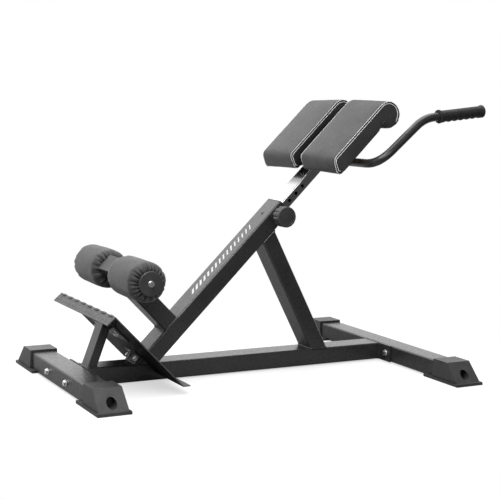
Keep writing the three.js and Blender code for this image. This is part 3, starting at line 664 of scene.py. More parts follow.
def add_thread(shape, base, axis, radius, start, end, pitch=1.25):
    """A shank with thread ridges."""
    profile = []
    height = start
    while height < end - pitch:
        profile += [(radius - 0.45, height), (radius, height + pitch / 2)]
        height += pitch
    profile += [(radius - 0.45, height), (radius - 1.2, end)]
    shape.turned(base, axis, profile, 20, caps=True)


def build_fastener(node, axis, radius, is_bolt, washer=None):
    """A hexagon on a washer where the CAD has a bolt's head or a nut; a bolt has its shank too."""
    tip, length = seat_of(node, axis)
    base = tip - axis * HEX_HEIGHT
    bore = 0.0 if is_bolt else radius + NUT_PLAY
    shape = Shape()
    add_washer(shape, base, axis, washer or radius * WASHER_RATIO, bore or radius)
    add_hex(shape, base, axis, radius * HEX_RATIO, WASHER_THICK, HEX_HEIGHT, bore)
    if is_bolt:
        add_thread(shape, base, -axis, radius, -WASHER_THICK, length - HEX_HEIGHT)
    add_piece(shape, f"{node}_look", "frame", "zinc_steel", replaced=[node], hard=True)


def build_fasteners():
    for side, sign in SIDES:
        for end in ("rear", "front"):
            build_fastener(f"{end}_bolt_{side}", -X, BOLT_RADIUS, True)
            build_fastener(f"{end}_nut_{side}", X, BOLT_RADIUS, False)
        build_fastener(f"mount_bolt_{side}", U, BOLT_RADIUS, True)
        build_fastener(f"mount_nut_{side}", -U, BOLT_RADIUS, False)
        build_fastener(f"heel_bolt_{side}", W, HEEL_BOLT_RADIUS, True)
        build_fastener(f"axle_bolt_{side}", V * sign, BOLT_RADIUS, True, AXLE_WASHER)


# ---------------------------------------------------------------- weld beads

def tube_outline(half_width, half_depth, corner, step=1.5):
    """(across, up) pairs round a rounded rectangle."""
    points = []
    for quarter, (sx, sy) in enumerate(((1, 1), (-1, 1), (-1, -1), (1, -1))):
        for part in range(5):
            angle = math.pi / 2 * (quarter + part / 4)
            points.append(Vector((
                sx * (half_width - corner) + corner * math.cos(angle),
                sy * (half_depth - corner) + corner * math.sin(angle), 0)))
    return resample(points + [points[0]], step)[:-1]


def weld_loop(foot, along, tube, plane_point, plane_normal):
    """Where a tube's outer surface meets a plane; `tube` is its half sizes and corner radius."""
    up = along.cross(V)
    loop = []
    for point in tube_outline(*tube):
        start = foot + V * point.x + up * point.y
        distance = (plane_point - start).dot(plane_normal) / along.dot(plane_normal)
        loop.append(start + along * distance)
    return loop


def build_weld(name, loop, radius):
    phase = random.Random(name).uniform(0, 6)

    def reach(travelled):
        bead = 0.14 * math.sin(travelled * 2.3 + phase)
        return radius * (1 + bead + 0.06 * math.sin(travelled * 0.37))

    rings = swept_rings(loop, reach, sides=8, closed=True)
    add_piece(Shape().skin(rings, closed=True), name, "frame", "frame_black")


def build_welds():
    tube = (TUBE_HALF_WIDTH, TUBE_HALF_DEPTH, TUBE_CORNER)
    strut = (*KICK_HALF, KICK_CORNER)
    rail = (*RAIL_WELD_HALF, TUBE_CORNER)
    rail_top = Z * RAIL_TOP
    over, under = incline(0, 0, TUBE_HALF_DEPTH), incline(0, 0, -TUBE_HALF_DEPTH)
    brace, kick = spoke(X, Z, BRACE_SLOPE), spoke(X, Z, KICK_SLOPE)
    rail_low, rail_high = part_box("main_rail")
    rail_line = Z * RAIL_MIDDLE
    for name, foot, along, section, plane_point, plane_normal, radius in (
            ("upright_foot", UPRIGHT_FOOT, U, tube, rail_top, Z, THICK_BEAD),
            ("post_foot", incline(POST_AT, 0, 0), W, tube, over, W, THICK_BEAD),
            ("brace_foot", BRACE_FOOT, brace, tube, rail_top, Z, THICK_BEAD),
            ("brace_top", BRACE_FOOT, brace, tube, under, W, THICK_BEAD),
            ("kick_foot", KICK_FOOT, kick, strut, rail_top, Z, THIN_BEAD),
            ("kick_top", KICK_FOOT, kick, strut, incline(MOUNT_UNDERSIDE, 0, 0), U, THIN_BEAD),
            ("rail_rear", rail_line, X, rail, X * (rail_low.x / MM), X, THIN_BEAD),
            ("rail_front", rail_line, X, rail, X * (rail_high.x / MM), X, THIN_BEAD)):
        loop = weld_loop(foot, along, section, plane_point, plane_normal)
        build_weld(f"weld_{name}", loop, radius)


# ---------------------------------------------------------------- handlebar and grips

def curve_points(start, corner, end, steps=18):
    """A quadratic bend between two straights, without its first point."""
    points = []
    for step in range(1, steps + 1):
        t = step / steps
        points.append(start.lerp(corner, t).lerp(corner.lerp(end, t), t))
    return points


def bar_half(sign):
    """One half of the bar: its path from the grip's end inwards, its elbow and the grip's line."""
    bend = incline(BAR_AT, 0, -BAR_DROP)
    elbow = Vector((ARM_END_X, 0, bend.z + (ARM_END_X - bend.x) * math.tan(ARM_SLOPE)))
    arm, grip = spoke(X, Z, ARM_SLOPE), spoke(X, Z, GRIP_SLOPE)
    side = V * sign * BAR_HALF
    end = elbow + side + grip * (GRIP_START + GRIP_LENGTH - BAR_END_INSET)
    path = [end, elbow + side + grip * ARM_BEND]
    path += curve_points(path[-1], elbow + side, elbow + side - arm * ARM_BEND)
    path.append(bend + side + arm * CORNER_BEND)
    path += curve_points(path[-1], bend + side, bend + V * sign * (BAR_HALF - CORNER_BEND))
    return path, elbow, grip


def build_handlebar():
    right, left = bar_half(-1)[0], bar_half(1)[0]
    rings = swept_rings(resample(right + list(reversed(left)), 3.0), BAR_RADIUS, sides=32)
    add_piece(Shape().skin(rings), "handlebar_look", "carriage", "frame_black",
              replaced=["handlebar"])


GRIP_RADIUS = 16.3
GRIP_FLANGE = 20.0
GRIP_RINGS = 200
FINGER_GROOVES = 6
GROOVE_DEPTH = 2.4
FINGER_SWELL = 2.2
RIB_HEIGHT = 0.22


def grip_radius(radius, height, down):
    """The grip's skin: finger grooves underneath and fine ribs all round."""
    if radius < GRIP_RADIUS - 0.1 or radius > GRIP_RADIUS + 0.1:
        return radius
    inside = min(max((height - 14) / (GRIP_LENGTH - 30), 0.0), 1.0)
    groove = 0.5 - 0.5 * math.cos(inside * FINGER_GROOVES * 2 * math.pi)
    rib = RIB_HEIGHT * math.sin(height * 2.1)
    below = max(0.0, down)
    return radius - GROOVE_DEPTH * groove * below ** 0.7 + FINGER_SWELL * below + rib


def build_grips():
    length, flange, count = GRIP_LENGTH, GRIP_FLANGE, GRIP_RINGS
    profile = [(BAR_RADIUS + 0.2, 0.4), (flange - 1, 0), (flange, 1), (flange, 4),
               (flange - 2.5, 5.4), (GRIP_RADIUS + 1, 6.5)]
    profile += [(GRIP_RADIUS, 8 + (length - 18) * step / count) for step in range(count + 1)]
    profile += [(flange - 3, length - 7.5), (flange - 1.2, length - 5),
                (flange - 1.2, length - 2.4), (flange - 3, length - 0.6),
                (12, length), (5, length), (4, length - 1.4), (0.5, length - 1.6)]
    for side, sign in SIDES:
        _, elbow, along = bar_half(sign)
        base = elbow + V * sign * BAR_HALF + along * GRIP_START
        _, up = cross_axes(along)
        toward_floor = math.copysign(1.0, -up.z)

        def reach(radius, height, angle, toward_floor=toward_floor):
            return grip_radius(radius, height, toward_floor * math.sin(angle))

        shape = Shape().turned(base, along, profile, 64, caps=True, radius_at=reach)
        add_piece(shape, f"grip_{side}_look", "carriage", "grip_rubber",
                  replaced=[f"grip_{side}"])


# ---------------------------------------------------------------- pull knob

KNOB_RADIUS = 30
KNOB_DEPTH = 31
KNOB_FLUTES = 12
KNOB_SEGMENTS = 144
FLUTE_DEPTH = 2.6


def knob_radius(radius, height, angle):
    if radius < KNOB_RADIUS - 4:
        return radius
    fade = min(max((KNOB_DEPTH - 5 - height) / 5, 0.0), 1.0)
    flute = max(0.0, math.cos(KNOB_FLUTES * angle)) ** 1.5
    return radius - FLUTE_DEPTH * flute * fade


def build_knob():
    axis = -V
    radius, depth = KNOB_RADIUS, KNOB_DEPTH
    base = seat_of("pull_knob", axis)[0] - axis * depth
    profile = [(17, 13), (17, 0.6), (18, 0), (radius - 1.5, 0), (radius - 0.4, 0.5), (radius, 1.6)]
    profile += [(radius, 1.6 + (depth - 5.6) * step / 12) for step in range(1, 13)]
    for step in range(1, 9):
        turn = math.pi / 2 * step / 8
        profile.append((radius - 3.5 + 3.5 * math.cos(turn), depth - 4 + 3.5 * math.sin(turn)))
    profile += [(radius - 6, depth - 0.5), (radius - 6.8, depth - 1.3), (radius - 8, depth - 1.3),
                (12, depth - 0.6), (0.4, depth - 0.3)]
    shape = Shape().turned(base, axis, profile, KNOB_SEGMENTS, radius_at=knob_radius)
    shape.turned(base, axis, [(17, 13), (5, 13)], KNOB_SEGMENTS)
    add_piece(shape, "pull_knob_look", "knob", "hard_plastic", replaced=["pull_knob"], hard=True)


# ---------------------------------------------------------------- roller covers

FOLDS = 23
FOLD_REACH = 36
COVER_SEGMENTS = 288
SHOULDER_STEPS = 12
BARREL_STEPS = 46
ROLLER_CROWN = 0.7
RIPPLE_HEIGHT = 0.16


def fold_pattern(seed):
    """Angles, widths, depths and lengths of the gathers at one end of a cover."""
    draw = random.Random(seed)
    folds = []
    for index in range(FOLDS):
        angle = 2 * math.pi * (index + draw.uniform(-0.28, 0.28)) / FOLDS
        folds.append((
            angle, draw.uniform(0.05, 0.085), draw.uniform(5.0, 10.0), draw.uniform(0.6, 1.15)))
    return folds


def fold_depth(folds, angle, from_end):
    """How far the cloth is drawn in, `from_end` mm along the skin from the gathered rim."""
    depth = 0.0
    for place, width, deep, long in folds:
        reach = FOLD_REACH * long
        if from_end > reach:
            continue
        gap = (angle - place + math.pi) % (2 * math.pi) - math.pi
        fade = math.cos(math.pi / 2 * from_end / reach) ** 1.2
        spread = width * (1 + 0.4 * from_end / reach)
        depth += deep * fade * math.exp(-(gap / spread) ** 2)
    return depth


def cover_profile(length):
    """(radius, height, way to the nearest gathered rim, is it the inner one) down a cover."""
    start = []
    for step in range(SHOULDER_STEPS + 1):
        turn = math.pi / 2 * step / SHOULDER_STEPS
        radius = ROLLER_NECK + (ROLLER_RADIUS - ROLLER_NECK) * math.sin(turn)
        start.append((radius, ROLLER_ROUND * (1 - math.cos(turn))))
    middle = []
    for step in range(1, BARREL_STEPS):
        height = ROLLER_ROUND + (length - 2 * ROLLER_ROUND) * step / BARREL_STEPS
        crown = math.sin(math.pi * step / BARREL_STEPS)
        middle.append((ROLLER_RADIUS + ROLLER_CROWN * crown, height))
    end = [(radius, length - height) for radius, height in reversed(start)]
    line = start + middle + end
    lengths = [0.0]
    for (r0, h0), (r1, h1) in zip(line, line[1:]):
        lengths.append(lengths[-1] + math.hypot(r1 - r0, h1 - h0))
    total = lengths[-1]
    return [(radius, height, min(far, total - far), far < total / 2)
            for (radius, height), far in zip(line, lengths)]


def build_roller(side, sign):
    axis = V * sign
    node = f"foam_roller_{side}"
    tip, length = seat_of(node, axis)
    base = tip - axis * length
    across, up = cross_axes(axis)
    inner_folds = fold_pattern(f"{side} inner")
    outer_folds = fold_pattern(f"{side} outer")
    draw = random.Random(f"{side} barrel")
    waves = [(draw.randint(2, 7), draw.uniform(0, 6), draw.uniform(0.02, 0.06)) for _ in range(4)]
    spokes = [(angle, spoke(across, up, angle)) for angle in turns(COVER_SEGMENTS)]

    def plain_ring(radius, height):
        return [base + axis * height + out * radius for _, out in spokes]

    rings = [plain_ring(ROLLER_BORE, 0.6), plain_ring(ROLLER_NECK - 9, 0.8)]
    for radius, height, rim, is_inner in cover_profile(length):
        folds = inner_folds if is_inner else outer_folds
        lean = 1 if is_inner else -1
        shoulder = min(rim / FOLD_REACH, 1.0)
        ring = []
        for angle, out in spokes:
            depth = fold_depth(folds, angle, rim)
            ripple = sum(RIPPLE_HEIGHT * math.sin(k * angle + phase + height * rate)
                         for k, phase, rate in waves)
            reach = radius - depth * (0.35 + 0.65 * shoulder) + ripple * shoulder
            lift = height + lean * depth * (1 - shoulder) * 0.8
            ring.append(base + axis * lift + out * reach)
        rings.append(ring)
    rings += [plain_ring(ROLLER_NECK - 9, length - 0.8), plain_ring(ROLLER_BORE, length - 0.6)]
    add_piece(Shape().skin(rings, closed=True), f"{node}_look", f"{side}_roller", "roller_cloth",
              replaced=[node])


# ---------------------------------------------------------------- pad cushions

PRESSURE = 4.0
SIM_FRAMES = 20
VOXEL = 4.2
SHRINK = 1.2
MOVE_CAP = 5.0
PINNED_HEIGHT = 3.0
BOARD_MARGIN = 4                # round the board, where the cushion counts as backed by it
SEAM_HOLD = 5.5
TOE_ROUND = 17.0
TOE_SWELL = 6.5
TOE_CENTRE = PAD_BOTTOM - TOE_SWELL + TOE_ROUND + 4
TOE_TOP = PAD_BOTTOM + 45       # where the swelling starts
TOE_FADE = 40                   # and how far down it grows
PLEAT_AT = 1016


def pad_point(sign, x, y, z):
    """A point of a pad's frame: x up the pad, y outwards from its bend line, z from back to face."""
    tilt = -sign * PAD_TILT
    across = sign * y
    return incline(
        x,
        sign * PAD_BEND_Y + across * math.cos(tilt) - z * math.sin(tilt),
        PAD_BACK + across * math.sin(tilt) + z * math.cos(tilt))


def pad_coordinates(sign, point):
    """The inverse of pad_point."""
    local = point - UPRIGHT_FOOT
    tilt = -sign * PAD_TILT
    across = local.dot(V) - sign * PAD_BEND_Y
    above = local.dot(W) - PAD_BACK
    y = across * math.cos(tilt) + above * math.sin(tilt)
    z = -across * math.sin(tilt) + above * math.cos(tilt)
    return local.dot(U), sign * y, z


def bake_modifiers(obj):
    graph = bpy.context.evaluated_depsgraph_get()
    baked = bpy.data.meshes.new_from_object(
        obj.evaluated_get(graph), preserve_all_data_layers=True, depsgraph=graph)
    obj.modifiers.clear()
    obj.data = baked


def is_backed(x, y, z):
    """True where the cushion lies on its board."""
    on_board = (BOARD_START - BOARD_MARGIN < x < BOARD_END + BOARD_MARGIN
                and FACE_INNER + BOARD_INSET - BOARD_MARGIN < y
                and y < FACE_OUTER - BOARD_INSET + BOARD_MARGIN
                and z < BOARD_THICK + BOARD_MARGIN)
    return on_board or (z < PINNED_HEIGHT and x < BOARD_END + 6)


def round_toe(obj, sign):
    """Swells the toe downwards and rounds the corner between it and the back of the cushion."""
    for vertex in obj.data.vertices:
        x, y, z = pad_coordinates(sign, vertex.co / MM)
        near = min(max((TOE_TOP - x) / TOE_FADE, 0.0), 1.0)
        x -= TOE_SWELL * near * min((PAD_FRONT - z) / (PAD_FRONT - TOE_ROUND), 1.0)
        vertex.co = pad_point(sign, x, y, z) * MM
        away = math.hypot(x - TOE_CENTRE, z - TOE_ROUND)
        if x < TOE_CENTRE and z < TOE_ROUND and away > TOE_ROUND:
            scale = TOE_ROUND / away
            vertex.co = pad_point(sign, TOE_CENTRE + (x - TOE_CENTRE) * scale, y,
                                  TOE_ROUND + (z - TOE_ROUND) * scale) * MM


def near_seam(profile_tree, x, y, z):
    """True close to the sewn edges between the face and the two sides."""
    edge = min(abs(y - FACE_INNER), abs(y - FACE_OUTER))
    if edge > SEAM_HOLD:
        return False
    _, _, gap = profile_tree.find((x, z, 0))
    return math.hypot(edge, gap) < SEAM_HOLD


def tree_of(points):
    tree = KDTree(len(points))
    for index, point in enumerate(points):
        tree.insert(point, index)
    tree.balance()
    return tree


def hold_cushion(obj, sign):
    """Groups: "held" keeps the back and the seams in place, "free" is the rest."""
    profile_tree = tree_of(resample(pad_side_profile(), 2.0))
    held = obj.vertex_groups.new(name="held")
    free = obj.vertex_groups.new(name="free")
    for vertex in obj.data.vertices:
        place = pad_coordinates(sign, vertex.co / MM)
        group = held if is_backed(*place) or near_seam(profile_tree, *place) else free
        group.add([vertex.index], 1.0, "REPLACE")


def swell(obj):
    """Fills the cushion with air as cloth between the places where it is held."""
    rest = [vertex.co.copy() for vertex in obj.data.vertices]
    cloth = obj.modifiers.new("cloth", "CLOTH")
    set_all(cloth.settings, {
        "quality": 6, "mass": 0.3, "tension_stiffness": 18, "compression_stiffness": 12,
        "shear_stiffness": 8, "bending_stiffness": 6.0, "use_pressure": True,
        "uniform_pressure_force": PRESSURE, "vertex_group_mass": "held"})
    cloth.settings.effector_weights.gravity = 0.0
    cloth.collision_settings.use_self_collision = False
    cloth.point_cache.frame_start = 1
    cloth.point_cache.frame_end = SIM_FRAMES
    for number in range(1, SIM_FRAMES + 1):
        SCENE.frame_set(number)
    bake_modifiers(obj)
    for vertex, start in zip(obj.data.vertices, rest):
        move = vertex.co - start
        if move.length > MOVE_CAP * MM:
            vertex.co = start + move.normalized() * MOVE_CAP * MM
    SCENE.frame_set(1)


def pad_side_profile():
    """(x, z, 0) along the pad's sewn edge, from under the toe, over the face, round the roll."""
    lean = PAD_LEAN / PAD_FRONT * PAD_CORNER
    face = PAD_BOTTOM + PAD_LEAN
    toe_lean = TOE_SWELL * PAD_CORNER / (PAD_FRONT - TOE_ROUND)
    toe_top = Vector((face - lean - toe_lean, PAD_FRONT - PAD_CORNER, 0))
    toe_centre = Vector((TOE_CENTRE, TOE_ROUND, 0))
    roll_centre = Vector((ROLL_AT, ROLL_HEIGHT, 0))
    points = [toe_centre + spoke(X, V, math.radians(225 - 45 * step / 6)) * TOE_ROUND
              for step in range(7)]
    points.append(toe_top)
    points += curve_points(toe_top, Vector((face, PAD_FRONT, 0)),
                           Vector((face + PAD_CORNER, PAD_FRONT, 0)), 8)
    points += [roll_centre
               + spoke(X, V, math.pi / 2 - math.radians(175) * step / 32) * ROLL_RADIUS
               for step in range(33)]
    return points


STITCH_PITCH = 5.6
STITCH_LENGTH = 4.9
STITCH_RADIUS = 1.15
CORNER_ROW = 2.4                # the upper stitches, in from the side
SEAM_DROP = 4.4                 # the seam, down from the face
FLANK_ROW = 9.0                 # the lower stitches, down from the face
PROBE = 25.0                    # how far outside the cushion a probing ray starts
SEAM_RADIUS = 1.5
SEAM_SINK = 0.6
PULL_REACH = 4.0
PULL_DEPTH = 0.6


def edge_rows(tree, sign, edge, inboard):
    """The stitch rows on face and side, and the seam between, as (point, normal) lists."""
    line = resample(pad_side_profile(), STITCH_PITCH)
    face, flank, seam = [], [], []
    above, beside = edge + inboard * CORNER_ROW, edge - inboard * PROBE
    for index, spot in enumerate(line):
        before, after = line[max(index - 1, 0)], line[min(index + 1, len(line) - 1)]
        along = (after - before).normalized()
        out = Vector((-along.y, along.x, 0))
        low, middle = spot - out * FLANK_ROW, spot - out * SEAM_DROP
        for row, start, start_y, target, target_y in (
                (face, spot + out * PROBE, above, spot, above),
                (flank, low, beside, low, edge), (seam, middle, beside, middle, edge)):
            origin = pad_point(sign, start.x, start_y, start.y)
            goal = pad_point(sign, target.x, target_y, target.y)
            ray = (goal - origin).normalized()
            found, normal, _, _ = tree.ray_cast(origin * MM, ray, 2 * PROBE * MM)
            if found:
                row.append((found / MM, normal))
    return face, flank, seam


def add_stitch(shape, start, end, normal):
    """One raised thread that dives into the cover at both ends."""
    along = end - start
    path = []
    for step in range(7):
        t = step / 6
        arch = math.sin(math.pi * t) ** 0.5 - 0.5 if 0 < t < 1 else -1
        place = 0.5 + (t - 0.5) * STITCH_LENGTH / along.length
        path.append(start + along * place + normal * (STITCH_RADIUS * arch))
    shape.skin(swept_rings(path, STITCH_RADIUS, sides=6))


def build_stitching(obj, side, sign):
    """Sews both edges: pulls the cover in under the stitches, then lays threads and, in the seam, a
    near-black cord as painted shadow.
    """
    tree = BVHTree.FromObject(obj, bpy.context.evaluated_depsgraph_get())
    stitches, seams = Shape(), Shape()
    places = []
    for edge, inboard in ((FACE_INNER, 1), (FACE_OUTER, -1)):
        face, flank, seam = edge_rows(tree, sign, edge, inboard)
        for row in (face, flank):
            places += [point for point, _ in row]
            for (start, normal), (end, _) in zip(row, row[1:]):
                if 1.0 < (end - start).length < 2 * STITCH_PITCH:
                    add_stitch(stitches, start, end, normal)
        # The seam's cord is near black: painted shadow in the groove.
        cord = [point - normal * SEAM_SINK for point, normal in seam]
        seams.skin(swept_rings(cord, SEAM_RADIUS, sides=8))
    pull_in(obj, places)
    add_piece(stitches, f"pad_stitches_{side}", "carriage", "pad_vinyl", THREAD)
    add_piece(seams, f"pad_seam_shadows_{side}", "carriage", "pad_vinyl", SEAM_SHADOW)


def pull_in(obj, places):
    """Draws the cover in a little where the thread goes through it."""
    sewn = tree_of(places)
    for vertex in obj.data.vertices:
        _, _, gap = sewn.find(vertex.co / MM)
        if gap < PULL_REACH:
            vertex.co -= vertex.normal * PULL_DEPTH * (1 - gap / PULL_REACH) * MM


def build_cushion(side, sign):
    node = f"pad_cushion_{side}"
    mesh = NODES[node].data.copy()
    mesh.name = f"{node}_look"
    mesh.materials.clear()
    obj = bpy.data.objects.new(f"{node}_look", mesh)
    SCENE.collection.objects.link(obj)
    modify(obj, "voxels", "REMESH", mode="VOXEL", voxel_size=VOXEL * MM)
    modify(obj, "relax", "SMOOTH", factor=0.5, iterations=3)
    bake_modifiers(obj)
    for vertex in obj.data.vertices:
        if not is_backed(*pad_coordinates(sign, vertex.co / MM)):
            vertex.co -= vertex.normal * SHRINK * MM
    round_toe(obj, sign)
    hold_cushion(obj, sign)
    swell(obj)
    modify(obj, "relax", "SMOOTH", vertex_group="free", factor=0.5, iterations=10)
    modify(obj, "divide", "SUBSURF", levels=1)
    bake_modifiers(obj)
    obj.data.materials.clear()
    set_smooth(obj.data)
    build_stitching(obj, side, sign)
    finish_piece(obj, "carriage", "pad_vinyl", replaced=[node])


def build_pleat(side, sign):
    """The gathered end of the cover, tucked in where the roll meets the back."""
    shape = Shape()
    for start, end, reach in ((20, 250, 6.0), (200, 420, 3.0)):
        path = []
        for step in range(15):
            turn = math.radians(start + (end - start) * step / 14)
            x, z = PLEAT_AT + reach * math.cos(turn), 3 + reach * math.sin(turn)
            path.append(pad_point(sign, x, FACE_OUTER - 0.4, z))
        shape.skin(swept_rings(path, 2.0, sides=8))
    add_piece(shape, f"pad_pleat_{side}", "carriage", "pad_vinyl")


# ---------------------------------------------------------------- tread pattern

LOZENGE_PITCH = 25
LOZENGE = (10.5, 3.2, 1.3)      # half length, half width, height
LIP_LOZENGE = (3.6, 1.7, 0.9)
LOZENGE_SINK = 0.15
RIDGE_KNOBS = 8
RIDGE_KNOB = (18, 5.5, 2.7)
RIDGE_PITCH = 50
FIRST_ROW = 17                  # the upper row of lozenges, down from the fold
LIP_ROWS = (9, 21)              # the rows on the lip, back from the fold
NOTCH_CLEAR = (10, 40)          # half sizes left plain round the notch
BOLT_CLEAR = (22, 16)           # and round each mounting bolt


def add_lozenge(shape, centre, along, across, normal, size):
    """A low almond-shaped swelling on a sheet."""
    half_length, half_width, height = size
    rings = []
    for level in (1.0, 0.8, 0.5, 0.2):
        lift = height * math.sqrt(1 - level ** 2)
        ring = []
        for turn in turns(20):
            width = half_width * abs(math.sin(turn)) ** 0.8 * math.copysign(1, math.sin(turn))
            flat = along * (half_length * math.cos(turn) * level) + across * (width * level)
            ring.append(centre + flat + normal * (lift - LOZENGE_SINK))
        rings.append(ring)
    shape.skin(rings)


def leaning(row, column, along):
    """The two directions of a lozenge, which lean by turns to one side and the other."""
    lean = 1 if (row + column) % 2 else -1
    diagonal = math.sqrt(0.5)
    return (V + along * lean) * diagonal, (V * lean - along) * diagonal


def build_tread():
    shape = Shape()
    rows = int((FOOT_PLATE_TOP - FOOT_PLATE_BOTTOM) / LOZENGE_PITCH)
    columns = int(2 * FOOT_PLATE_HALF / LOZENGE_PITCH)
    for row in range(rows):
        for column in range(columns):
            w = FOOT_PLATE_TOP - FIRST_ROW - row * LOZENGE_PITCH
            v = (column - (columns - 1) / 2) * LOZENGE_PITCH
            near_notch = abs(v) < NOTCH_HALF + NOTCH_CLEAR[0] and w < NOTCH_TOP + NOTCH_CLEAR[1]
            near_bolt = (abs(abs(v) - MOUNT_BOLT_V) < BOLT_CLEAR[0]
                         and abs(w - MOUNT_BOLT_W) < BOLT_CLEAR[1])
            if not near_notch and not near_bolt:
                centre = incline(FOOT_PLATE_OVER, v, w)
                add_lozenge(shape, centre, *leaning(row, column, W), U, LOZENGE)
    lip_rise = 2 / FOOT_PLATE_LIP
    lip_normal = (W + U * lip_rise).normalized()
    lip_along = (U - W * lip_rise).normalized()
    for column in range(2 * columns):
        v = (column - columns + 0.5) * LOZENGE_PITCH / 2
        for row, back in enumerate(LIP_ROWS):
            centre = incline(FOOT_PLATE_OVER, v, FOOT_PLATE_TOP) - lip_along * back
            add_lozenge(shape, centre, *leaning(row, column, lip_along), lip_normal, LIP_LOZENGE)
    for index in range(RIDGE_KNOBS):
        v = (index - (RIDGE_KNOBS - 1) / 2) * RIDGE_PITCH
        ridge = incline(FOOT_PLATE_OVER - 1.6, v, FOOT_PLATE_TOP - 1.0)
        add_lozenge(shape, ridge, V, (U - W).normalized(), (U + W).normalized(), RIDGE_KNOB)
    add_piece(shape, "foot_plate_tread", "frame", "tread_plate")


# ---------------------------------------------------------------- small details

STRIPES_SPAN = (312, 600)
STRIPE_PITCH = 17
STRIPE_WIDTH = 9
STRIPE_TAPER = 0.55
STRIPE_HALF = 11
STRIPE_SLANT = 7
STRIPE_THICK = 0.12
RIVET_AT = 626
HEM_OVER = 9                    # how far the hem starts outside the board
HEM_WIDTH = 20


def build_decal():
    """Plain slanted stripes printed on the upright's top face."""
    shape = Shape()
    start, end = STRIPES_SPAN
    count = int((end - start) / STRIPE_PITCH)
    for index in range(count):
        u = start + index * STRIPE_PITCH
        width = STRIPE_WIDTH * (1 - STRIPE_TAPER * index / count)
        near, far = u - STRIPE_SLANT, u + STRIPE_SLANT
        low = [incline(along, half, TUBE_HALF_DEPTH + 0.05) for along, half in (
            (near, -STRIPE_HALF), (near + width, -STRIPE_HALF),
            (far + width, STRIPE_HALF), (far, STRIPE_HALF))]
        shape.skin([low, [corner + W * STRIPE_THICK for corner in low]])
    add_piece(shape, "upright_stripes", "frame", "frame_black", DECAL, hard=True)


def build_rivet():
    """The round head that holds the sleeve in the upright's mouth."""
    profile = [(4.6, -0.2), (4.6, 0.5), (4.0, 1.2), (2.8, 1.9), (1.4, 2.2), (0.2, 2.3)]
    base = incline(RIVET_AT, 0, TUBE_HALF_DEPTH)
    shape = Shape().turned(base, W, profile, 32, caps=True)
    add_piece(shape, "sleeve_rivet", "frame", "hard_plastic", hard=True)


def build_board_hems():
    """The cover's edge, folded on to the back of each board."""
    inner = FACE_INNER + BOARD_INSET
    outer = FACE_OUTER - BOARD_INSET
    middle_x = (BOARD_START + BOARD_END) / 2
    middle_y = (inner + outer) / 2
    line = tube_outline((BOARD_END - BOARD_START) / 2 + HEM_OVER, (outer - inner) / 2 + HEM_OVER,
                        8, 4.0)
    for side, sign in SIDES:
        rings = []
        for point, turn in zip(line, turns(len(line))):
            width = HEM_WIDTH + 1.6 * math.sin(7 * turn) + 0.8 * math.sin(19 * turn + 1)
            across, along = abs(point.x), abs(point.y)
            inward = Vector((-math.copysign(1, point.x) if across > along * 0.9 else 0,
                             -math.copysign(1, point.y) if along > across * 0.9 else 0, 0))
            inward = (inward if inward.length else -point).normalized()
            tip = point + inward * width
            rings.append([
                pad_point(sign, middle_x + place.x, middle_y + place.y, depth)
                for place, depth in ((point, -0.2), (tip, -0.2), (tip, -0.26), (point, -0.26))])
        add_piece(Shape().skin(rings, closed=True), f"pad_hem_{side}", "carriage", "pad_vinyl",
                  hard=True)


# ---------------------------------------------------------------- camera, light and stage

CAMERA_EYE = Vector((-1.62174, -2.87861, 0.75837))
CAMERA_AZIMUTH = math.radians(-28.798)
CAMERA_PITCH = math.radians(5.621)
CAMERA_ROLL = math.radians(1.627)
CAMERA_LENS_MM = 82.04
CAMERA_SHIFT = (0.0098, -0.0558)
SENSOR_MM = 36.0


def make_camera():
    ahead = Vector((-math.sin(CAMERA_AZIMUTH), math.cos(CAMERA_AZIMUTH), 0.0))
    right = Vector((ahead.y, -ahead.x, 0.0))
    forward = ahead * math.cos(CAMERA_PITCH) - Vector((0, 0, math.sin(CAMERA_PITCH)))
    up = right.cross(forward)
    rolled_right = spoke(right, up, CAMERA_ROLL)
    rolled_up = up * math.cos(CAMERA_ROLL) - right * math.sin(CAMERA_ROLL)
    data = bpy.data.cameras.new("camera")
    data.lens = CAMERA_LENS_MM
    data.sensor_width = SENSOR_MM
    data.shift_x, data.shift_y = CAMERA_SHIFT
    data.clip_end = 100.0
    camera = bpy.data.objects.new("camera", data)
    axes = Matrix((rolled_right, rolled_up, -forward)).transposed()
    camera.matrix_world = Matrix.Translation(CAMERA_EYE) @ axes.to_4x4()
    SCENE.collection.objects.link(camera)
    SCENE.camera = camera


def area_light(name, position, target, size, power):
    data = bpy.data.lights.new(name, "AREA")
    data.shape = "RECTANGLE"
    data.size, data.size_y = size
    data.energy = power
    light = bpy.data.objects.new(name, data)
    place = Vector(position)
    light.location = place
    light.rotation_euler = (Vector(target) - place).to_track_quat("-Z", "Y").to_euler()
    SCENE.collection.objects.link(light)


WHITE = (1.0, 1.0, 1.0, 1.0)
SMOOTH = "SMOOTHSTEP"
WORLD_NEAR = 0.15
WORLD_FAR = 1.0
WORLD_RAMP = (-0.55, 0.5)       # Y of the direction, where the one turns into the other
WORLD_HORIZON = 1.1             # more light low down on the far side
HORIZON_BAND = (0.05, 0.32)     # Z of the direction, where that light fades out
HORIZON_TOWARDS = (0.48, 0.87, 0.0)
HORIZON_CONE = (0.5, 0.85)      # cosine to the line above, where that light comes in
FLOOR_REACH = 60.0
FLOOR_DROP = 0.0005             # metres, so that the soles don't lie in the floor
FLOOR_FADE = (0.5, 1.2)         # metres from the middle, where the floor runs out into white
FLOOR_ALBEDO = 0.3
SEEN_FLOOR_ALBEDO = 0.95        # the same floor for the camera
NEAR_FLOOR_WHITE = 0.6          # share of plain white in the floor that the camera sees
NEAR_FLOOR_GLOW = 0.05          # the near part of the floor as reflections see it
FAR_FLOOR_GLOW = 0.85           # and the far part
FLOOR_GLOW_RAMP = (-0.8, 0.8)
